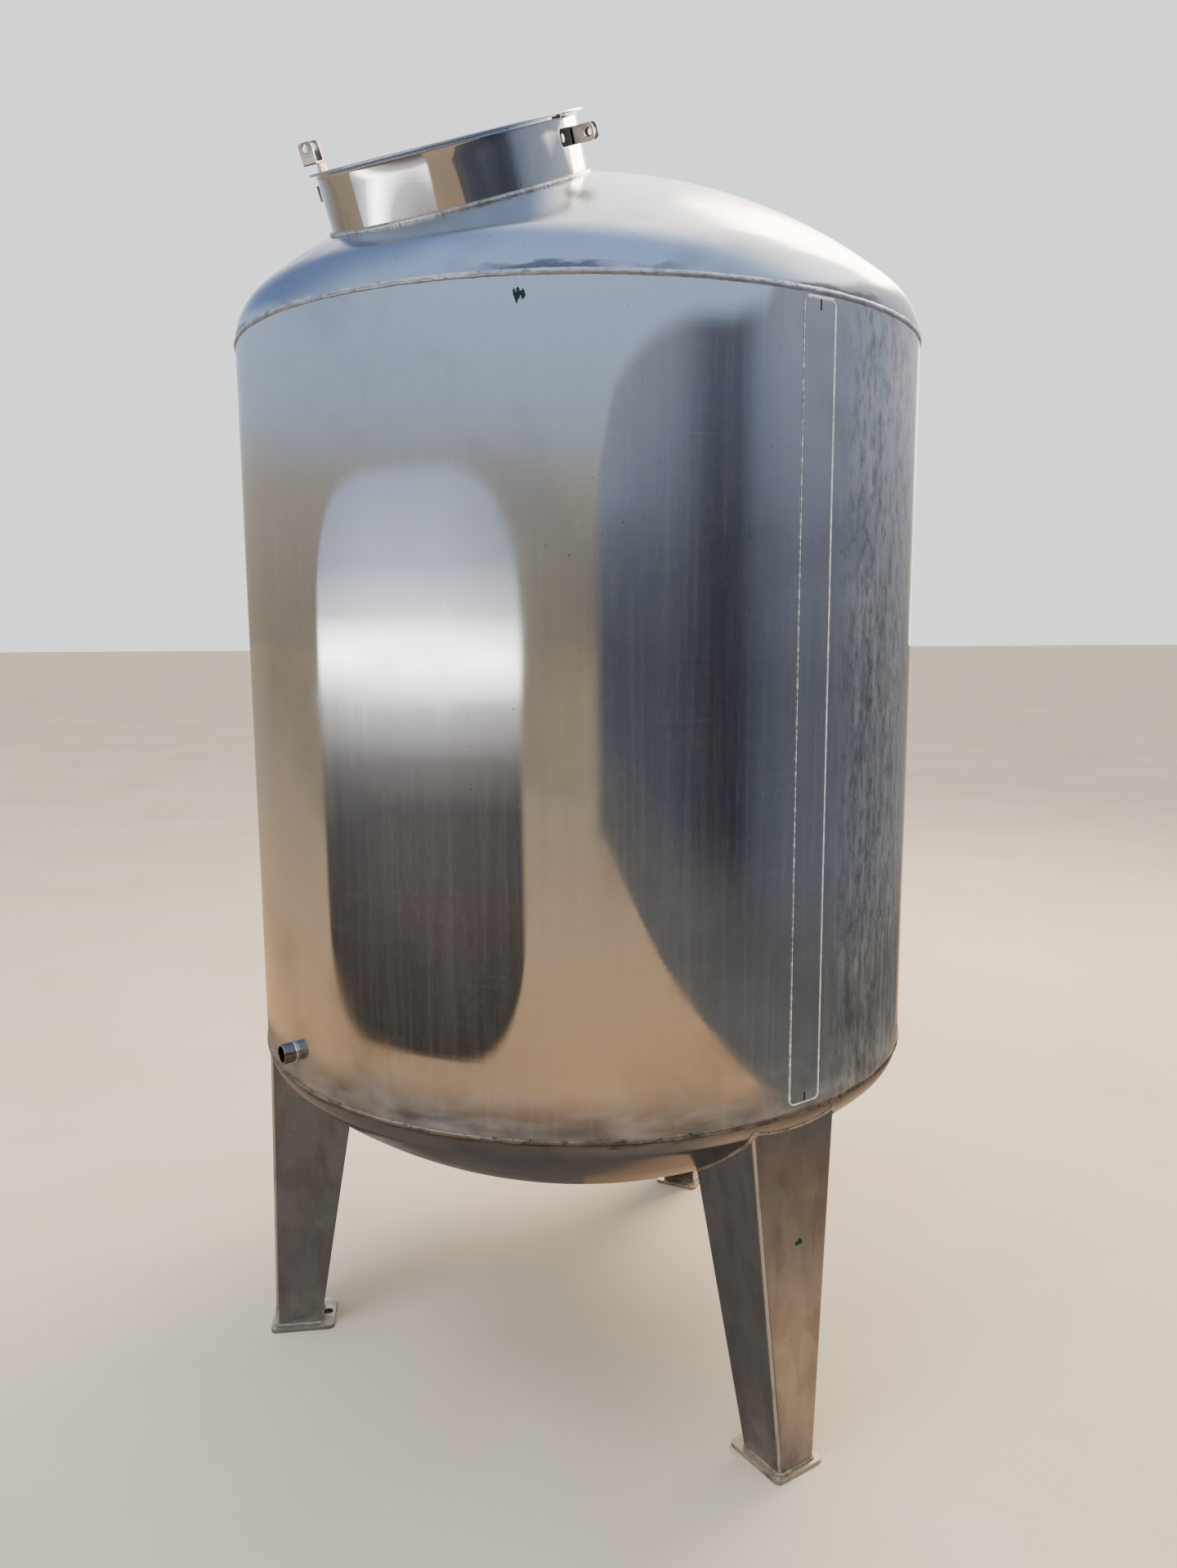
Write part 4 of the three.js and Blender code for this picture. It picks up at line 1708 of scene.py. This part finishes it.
@dataclass
class FoldedLeg:
    """One folded channel leg with the bead at its top, its foot plate and the bead on that."""

    site: LegSite
    plate: float = 4.0
    bend: float = 8.0
    high: float = 612.0
    low: float = 8.3
    web_widths: Flat = (75.0, 179.5)
    web_radii: Flat = (613.0, 591.0)
    flange_radii: Flat = (527.0, 424.0)
    search: Flat = (380.0, 611.0)
    seam: HandBead = HandBead(2.6, 1.6, 6.0)
    seam_pieces: int = 14
    knob: float = 1.7
    foot_seam: HandBead = HandBead(2.6, 1.4, 6.0)
    foot: tuple[float, float, float, float] = (502.0, 622.0, 100.0, 8.0)
    foot_corner: float = 10.0
    hole: Flat = (517.0, 9.0)

    def between(self, ends: Flat, height: float) -> float:
        """Gives a tapering size at a height, from its low and high values."""
        return ends[0] + (ends[1] - ends[0]) * (height - self.low) / (self.high - self.low)

    def section(self, height: float, bend_steps: int = 8, offset: float = 0.0) -> list[Flat]:
        """Lists the channel's outer face at a height, facing -Y.

        Args:
            height: Height above the floor.
            bend_steps: Pieces of each fold's arc.
            offset: How far outwards the face is moved.

        Returns:
            Corners from the left flange's inner end to the right one's.
        """
        half = self.between(self.web_widths, height) / 2
        web = self.between(self.web_radii, height)
        flange = self.between(self.flange_radii, height)
        centre = (half - self.bend, -web + self.bend)
        right = arc(centre, self.bend + offset, -math.pi / 2, 0, bend_steps)
        left = [(-x, y) for x, y in reversed(right)]
        return [(-half - offset, -flange), *left, *right, (half + offset, -flange)]

    def fold_line(self) -> tuple[Flat, Flat]:
        """Gives the height and the web's half width at the leg's foot and at its top."""
        return ((self.low, self.web_widths[0] / 2), (self.high, self.web_widths[1] / 2))

    def head_space(self) -> Workpiece:
        """Makes the filled form of the bottom end, which cuts the leg's top."""
        outline = [(0.0, 700.0), (SHELL_RADIUS + 0.3, 700.0), *BOTTOM_FORM.outline(0.3, 14, 34)]
        return Workpiece.turned("bottom_space", outline)

    def channel(self) -> Workpiece:
        """Folds the channel, tapers it, and cuts its top to the bottom end.

        Returns:
            The channel.
        """
        face = self.section(self.low)
        leg = Workpiece.at_point(f"folded_leg_{self.site.name}", (*face[0], self.low))
        leg.draw_out([(x, y, self.low) for x, y in face])
        leg.extrude((0, 0, self.high - self.low))
        spread = (self.web_widths[1] - self.web_widths[0]) / 2
        web_in = self.web_radii[0] - self.web_radii[1]
        flange_in = self.flange_radii[0] - self.flange_radii[1]
        middle = -(self.flange_radii[0] + self.web_radii[0]) / 2 * MM
        top = (self.high - 1) * MM
        for side in (-1, 1):
            web, flange = (side * spread, web_in, 0), (side * spread, flange_in, 0)
            leg.push(lambda at: at.z > top and at.x * side > 0 and at.y < middle, web)
            leg.push(lambda at: at.z > top and at.x * side > 0 and at.y > middle, flange)
        leg.modify("SOLIDIFY", thickness=self.plate * MM, offset=-1, use_even_offset=True)
        leg.seal()
        leg.join(self.head_space(), Join.CUT)
        leg.seal()
        leg.soften(0.7, angle=30)
        leg.place(turn_to(self.site.value))
        return leg

    def contact(self, share: float, corner: int) -> Solid:
        """Finds where a line of the channel's face meets the bottom end.

        Args:
            share: Place between this corner of the section and the next, from 0 to 1.
            corner: Number of the corner.

        Returns:
            The place.
        """
        low, high = self.search
        for _ in range(40):
            height = (low + high) / 2
            face = self.section(height, 4)
            here, there = face[corner], face[corner + 1]
            x = here[0] + (there[0] - here[0]) * share
            y = here[1] + (there[1] - here[1]) * share
            if math.hypot(x, y) > BOTTOM_FORM.radius_at(height):
                low = height
            else:
                high = height
        return (x, y, height)

    def top_bead(self) -> Workpiece:
        """Lays the bead along the line where the channel meets the bottom end.

        Returns:
            The bead.
        """
        corners = len(self.section(self.low, 4))
        path: list[Solid] = []
        for corner in range(corners - 1):
            wide = corner in (0, corners // 2 - 1, corners - 2)
            pieces = self.seam_pieces if wide else 1
            path += [self.contact(i / pieces, corner) for i in range(pieces)]
        path.append(self.contact(1.0, corners - 2))
        half = self.between(self.web_widths, 560.0) / 2 - 6

        def share(at: Vector) -> float:
            """Leaves a knob of metal on each fold."""
            return self.knob if abs(at.x) > half * MM and at.y < -0.56 else 1.0

        bead = self.seam.lay(f"leg_bead_{self.site.name}", path, share=share)
        bead.place(turn_to(self.site.value))
        return bead

    def foot_plate(self) -> Workpiece:
        """Cuts the foot plate with round corners and its bolt hole.

        Returns:
            The plate.
        """
        inner, outer, width, thick = self.foot
        where, radius = self.hole
        size = (width, outer - inner, METRE)
        middle = (0, -(inner + outer) / 2, 0)
        foot = Workpiece.sheet(f"floor_plate_{self.site.name}", middle, size)
        foot.bevel_corners(self.foot_corner)
        foot.extrude((0, 0, thick))
        foot.seal()
        hole = Workpiece.rod("bolt_hole", radius, 60, 40)
        hole.place(Matrix.Translation(metres((0, -where, 0))))
        foot.join(hole, Join.CUT)
        foot.seal()
        foot.soften(0.9, angle=50)
        foot.place(turn_to(self.site.value))
        return foot

    def foot_bead(self) -> Workpiece:
        """Lays the bead round the channel's outer face on the foot plate.

        Returns:
            The bead.
        """
        height = self.low + 0.6
        path = [(x, y, height) for x, y in self.section(height, 6, 0.4)]
        bead = self.foot_seam.lay(f"floor_bead_{self.site.name}", path)
        bead.place(turn_to(self.site.value))
        return bead

    def build(self, sheet: bpy.types.Material, bead: bpy.types.Material) -> None:
        """Makes and dresses every piece of the leg.

        Args:
            sheet: Finish of the folded plate and the foot plate.
            bead: Finish of the beads.
        """
        site = self.site.name
        self.channel().hand_over(sheet, Slot.MILL, f"leg_{site}")
        self.top_bead().hand_over(bead, Slot.WELD, f"leg_weld_{site}")
        self.foot_plate().hand_over(sheet, Slot.MILL, f"foot_plate_{site}")
        self.foot_bead().hand_over(bead, Slot.WELD, f"foot_weld_{site}")


# Each card's colours along it by azimuth in degrees, and up it by share of its height. The dark
# card's edges are an azimuth in degrees and its lower and upper edge there in metres. Both cards are
# painted reflections: the dark card is a mass in shade, paler towards its top; the pale card is a drum
# with painted shading, darker at its ends and towards its foot, and a painted glint band at 0.665 of its
# height.
DARK_ALONG: tuple[Shade, ...] = (
    (2.5, "80848e"), (26, "757983"), (37, "50535c"), (44, "53565f"), (50, "777d88"), (60, "8b909b"),
    (95, "989da5"), (120, "b6b5b5"), (144, "c9c4bb"),
)
DARK_UPWARD: tuple[Shade, ...] = (
    (0.0, "a5a3a2"), (0.23, "929295"), (0.366, "8e8f93"), (0.504, "b2b3b9"), (0.634, "dde1ea"),
    (0.81, "ffffff"),
)
DARK_EDGES: tuple[Edge, ...] = (
    (2.5, 0, 1.6), (3.5, 0, 1.86), (4.5, 0, 2.06), (6, 0, 2.32), (8, 0, 2.5), (10, 0, 2.57), (15, 0, 2.54),
    (26, 0, 2.44), (42, 0, 2.29), (51, 0, 2.26), (60, 0, 2.42), (80, 0, 2.55), (96, 0, 2.8), (144, 0, 2.8),
)
PALE_ALONG: tuple[Shade, ...] = ((-84, "d0d0d0"), (-62, "f0f0f0"), (-38, "f0f0f0"), (-15, "d2d0ce"))
PALE_UPWARD: tuple[Shade, ...] = (
    (0.0, "100e0c"), (0.26, "1b1817"), (0.42, "1c1b1a"), (0.5, "2d2b2a"), (0.59, "5a5857"),
    (0.665, "dedcd8"), (0.73, "6b6c6f"), (0.81, "494c52"), (1.0, "393d46"),
)


def oval(first: float, last: float, low: float, high: float, power: float = 4.0) -> list[Edge]:
    """Gives a card the edges of an oval that is nearly a rectangle.

    Args:
        first: Azimuth of its left end in degrees.
        last: Azimuth of its right end.
        low: Its lowest point in metres.
        high: Its highest point.
        power: How square it is, from 2 for an ellipse.

    Returns:
        Azimuth, lower edge and upper edge of each place along it.
    """
    steps = 24
    edges: list[Edge] = []
    for step in range(steps + 1):
        turn = math.pi * step / steps
        share = -math.cos(turn)
        reach = (1 - abs(share) ** power) ** (1 / power) * (high - low) / 2
        azimuth = (first + last) / 2 + share * (last - first) / 2
        edges.append((azimuth, max(0.0, (low + high) / 2 - reach), (low + high) / 2 + reach))
    return edges


@dataclass
class PhotoCamera:
    """The camera at the photograph's viewing angle, in metres and degrees."""

    lens: float = 36.03
    sensor: float = 36.0
    place: Solid = (0.0, -2.2365, 1.390)
    yaw: float = 0.344
    down: float = 8.45
    roll: float = -0.365

    def build(self) -> None:
        """Sets the camera up."""
        yaw, down, roll = (math.radians(a) for a in (self.yaw, self.down, self.roll))
        ahead = Vector(
            (math.sin(yaw) * math.cos(down), math.cos(yaw) * math.cos(down), -math.sin(down))
        )
        right = Vector((math.cos(yaw), -math.sin(yaw), 0))
        up = right.cross(ahead)
        side = math.cos(roll) * right + math.sin(roll) * up
        top = -math.sin(roll) * right + math.cos(roll) * up
        deselect_all()
        bpy.ops.object.camera_add()
        camera = bpy.context.active_object
        camera.name = "photo_camera"
        turn = Matrix((side, top, -ahead)).transposed().to_4x4()
        camera.matrix_world = Matrix.Translation(Vector(self.place)) @ turn
        camera.data.sensor_fit = "HORIZONTAL"
        camera.data.sensor_width = self.sensor
        camera.data.lens = self.lens
        bpy.context.scene.camera = camera


@dataclass(frozen=True)
class Lamp:
    """A square soft lamp that points at the tank, in metres and watts."""

    name: str
    place: Solid
    size: float
    power: float
    colour: str
    mirrored: bool
    aim: Solid = (0.0, 0.0, 1.3)

    def hang(self) -> None:
        """Hangs the lamp."""
        deselect_all()
        ahead = Vector(self.aim) - Vector(self.place)
        turn = ahead.to_track_quat("-Z", "Y").to_euler()
        bpy.ops.object.light_add(type="AREA", location=self.place, rotation=turn)
        lamp = bpy.context.active_object
        lamp.name = self.name
        lamp.data.size = self.size
        lamp.data.energy = self.power
        lamp.data.color = linear(self.colour)[:3]
        lamp.visible_glossy = self.mirrored


@dataclass(frozen=True)
class Card:
    """A card with soft edges that stands on the floor and that only gloss sees, in metres.

    Its colours along it, by azimuth, are multiplied by those up it, by share of its height. Its
    lower and upper edge go by azimuth too. Its foot may fade to one colour at the floor.
    """

    name: str
    path: Sequence[Flat]
    height: float
    glow: float
    along: Sequence[Shade]
    upward: Sequence[Shade]
    edges: Sequence[Edge]
    soft: float = 0.035
    last_soft: float = 0.035
    foot: str | None = None
    lift: float = 0.005

    def board(self) -> Workpiece:
        """Draws the card's foot and raises it into a sheet.

        Returns:
            The sheet.
        """
        path = [(x / MM, y / MM, self.lift / MM) for x, y in self.path]
        card = Workpiece.at_point(self.name, path[0])
        card.draw_out(path)
        card.extrude((0, 0, self.height / MM))
        return card

    def glowing(self) -> bpy.types.Material:
        """Builds the card's glow, which is clear outside its edges.

        Returns:
            The material.
        """
        on = Surface(self.name + "_board")
        first, last = self.along[0][0], self.along[-1][0]
        span = last - first
        turned = on.weigh((on.azimuth(), 1 / span), (-first / span, 1))
        rise = on.overlap(on.z, 1 / self.height)
        across = [((at - first) / span, colour) for at, colour in self.along]
        inputs = {
            0: 1.0,
            MIX_UNDER: on.add("ShaderNodeValToRGB", {0: turned}, across).outputs[0],
            MIX_OVER: on.add("ShaderNodeValToRGB", {0: rise}, self.upward).outputs[0],
        }
        mixed = on.add("ShaderNodeMix", inputs, data_type="RGBA", blend_type="MULTIPLY")
        colour = mixed.outputs[MIX_RESULT]
        if self.foot:
            colour = on.lay(colour, self.foot, on.within((rise, 0.24, 0.08)))
        lows = [((at - first) / span, grey(low / self.height)) for at, low, _ in self.edges]
        highs = [((at - first) / span, grey(high / self.height)) for at, _, high in self.edges]
        low = on.add("ShaderNodeValToRGB", {0: turned}, lows).outputs[0]
        high = on.add("ShaderNodeValToRGB", {0: turned}, highs).outputs[0]
        solid = on.within(
            (turned, 0.0, self.soft),
            (turned, 1.0, 1 - self.last_soft),
            (on.weigh((rise, 1), (low, -1)), -self.soft, 0.0),
            (on.weigh((high, 1), (rise, -1)), 0.0, self.soft),
        )
        # The card glows though it is no lamp: what the polish shows of it is a painted reflection.
        light = on.add("ShaderNodeEmission", {0: colour, 1: self.glow}).outputs[0]
        clear = on.add("ShaderNodeBsdfTransparent").outputs[0]
        board = on.add("ShaderNodeMixShader", {0: solid, 1: clear, 2: light}).outputs[0]
        on.add("ShaderNodeOutputMaterial", {0: board})
        # No more than gloss sees the card, so the light isn't traced towards it as to a lamp.
        on.material.cycles.emission_sampling = "NONE"
        return on.material

    def stand(self) -> None:
        """Stands the card on the floor."""
        piece = self.board().piece
        piece.data.materials.append(self.glowing())
        piece.visible_camera = piece.visible_shadow = piece.visible_diffuse = False


@dataclass
class Studio:
    """A plain pale floor under a soft dome of light, two soft lamps, and cards for the polish.

    The cards are a dark shape and a pale one for the mirror to show. Only gloss sees them.
    """

    floor_size: float = 80.0
    horizon: tuple[Shade, ...] = (
        (0.0, "857b6d"),
        (0.1, "948d83"),
        (0.16, "9ba8b9"),
        (0.25, "a3b6d2"),
        (1.0, "93abd6"),
    )
    deep_sky: str = "65779f"
    deep_aim: Solid = (-0.55, 0.72, 0.42)
    glow: str = "fff6e8"
    glow_aim: Solid = (0.6, 0.65, 0.5)
    glow_strength: float = 2.2
    gloss_strength: float = 1.6
    soft: tuple[str, float] = ("f4f2ee", 1.25)
    background: tuple[str, float] = ("e9ebee", 1.8)
    lamps: tuple[Lamp, ...] = (
        Lamp("warm_back_lamp", (2.4, 2.6, 4.4), 2.6, 420, "ffe6c8", True),
        Lamp("cool_front_lamp", (-3.0, -2.6, 5.4), 2.4, 160, "dfe9ff", False),
    )
    dark_path: tuple[Flat, ...] = (
        (0.27, -6.1), (0.45, -6.08), (0.73, -5.96), (1.64, -2.02), (1.72, -1.06), (1.8, 0.3), (1.35, 1.9),
    )
    dark_height: float = 3.2
    dark_glow: float = 2.0
    dark_last_soft: float = 0.07
    # The dark card's foot fades to painted shade of the ground.
    dark_foot: str = "52514f"
    pale_radius: float = 2.4
    pale_height: float = 1.88
    pale_glow: float = 16.0
    pale_step: int = 3
    pale_ends: tuple[int, int] = (-84, -15)
    pale_edges: Flat = (0.02, 1.84)

    def floor(self) -> None:
        """Lays the floor."""
        deselect_all()
        bpy.ops.mesh.primitive_plane_add(size=self.floor_size)
        floor = bpy.context.active_object
        floor.name = "studio_floor"
        floor.data.materials.append(PaleFloor().make())

    def dome(self) -> None:
        """Fills the world: one sky for gloss, a soft even one for the rest, and a pale one to see."""
        world = bpy.data.worlds.new("soft_dome")
        bpy.context.scene.world = world
        world.use_nodes = True
        sky = Layers(world.node_tree)
        towards = sky.add("ShaderNodeTexCoord").outputs["Generated"]
        height = sky.add("ShaderNodeSeparateXYZ", {0: towards}).outputs[2]
        facing = []
        for aim in (self.glow_aim, self.deep_aim):
            inputs = {0: towards, 1: Vector(aim).normalized()}
            dot = sky.add("ShaderNodeVectorMath", inputs, operation="DOT_PRODUCT")
            facing.append((dot.outputs["Value"], 0.3, 0.95))
        glow = sky.within(facing[0])
        colour = sky.add("ShaderNodeValToRGB", {0: height}, self.horizon).outputs[0]
        colour = sky.lay(colour, self.deep_sky, sky.within(facing[1], (height, 0.22, 0.4)))
        colour = sky.lay(colour, self.glow, glow)
        strength = sky.weigh((glow, self.glow_strength), (self.gloss_strength, 1))
        gloss, soft, seen = (
            sky.add("ShaderNodeBackground", {"Color": linear(tint), "Strength": power}).outputs[0]
            for tint, power in ((colour, strength), self.soft, self.background)
        )
        rays = sky.add("ShaderNodeLightPath").outputs
        inputs = {0: rays["Is Glossy Ray"], 1: soft, 2: gloss}
        unseen = sky.add("ShaderNodeMixShader", inputs).outputs[0]
        inputs = {0: rays["Is Camera Ray"], 1: unseen, 2: seen}
        mixed = sky.add("ShaderNodeMixShader", inputs).outputs[0]
        sky.add("ShaderNodeOutputWorld", {0: mixed})

    def cards(self) -> list[Card]:
        """Lists the dark card and the pale one.

        Returns:
            The cards.
        """
        dark = Card(
            "dark_card",
            self.dark_path,
            self.dark_height,
            self.dark_glow,
            DARK_ALONG,
            DARK_UPWARD,
            DARK_EDGES,
            last_soft=self.dark_last_soft,
            foot=self.dark_foot,
        )
        first, last = self.pale_ends
        turns = [math.radians(a) for a in range(first, last + 1, self.pale_step)]
        path = [(self.pale_radius * math.sin(a), -self.pale_radius * math.cos(a)) for a in turns]
        edges = oval(first, last, *self.pale_edges)
        pale = Card(
            "pale_card", path, self.pale_height, self.pale_glow, PALE_ALONG, PALE_UPWARD, edges
        )
        return [dark, pale]

    def build(self) -> None:
        """Sets up the floor, the light and the cards."""
        self.floor()
        self.dome()
        for lamp in self.lamps:
            lamp.hang()
        for card in self.cards():
            card.stand()


def main() -> None:
    """Builds the tank and its studio in order."""
    logging.basicConfig(level=logging.INFO, format="%(name)s %(message)s")
    PhotoCamera().build()
    Studio().build()
    drain = Drain()
    manway = Manway()
    body = Body()
    body.build(drain, manway)
    manway.build()
    drain.build()
    CoverStrip().build(bpy.data.objects["mirror_shell"])
    bead = LaidBead(
        name="leg_bead_metal", bright="b3a999", tint="8d8375", soot="51493f", rough=0.5, bare=0.5
    ).make()
    own = {
        # The left leg's foot top is a darker grey: painted shade.
        LegSite.left: {"rough": 0.3, "top_dust_and_light": "85817d"},
        LegSite.front_right: {"fleck": ((340.0, -493.0, 392.0), 12.0)},
    }
    for site in LegSite:
        leg = FoldedLeg(site)
        name = f"cold_rolled_{site.name}"
        sheet = ColdRolledPlate(name, site.value, leg.fold_line(), **own.get(site, {}))
        leg.build(sheet.make(), bead)


if __name__ == "__main__":
    main()
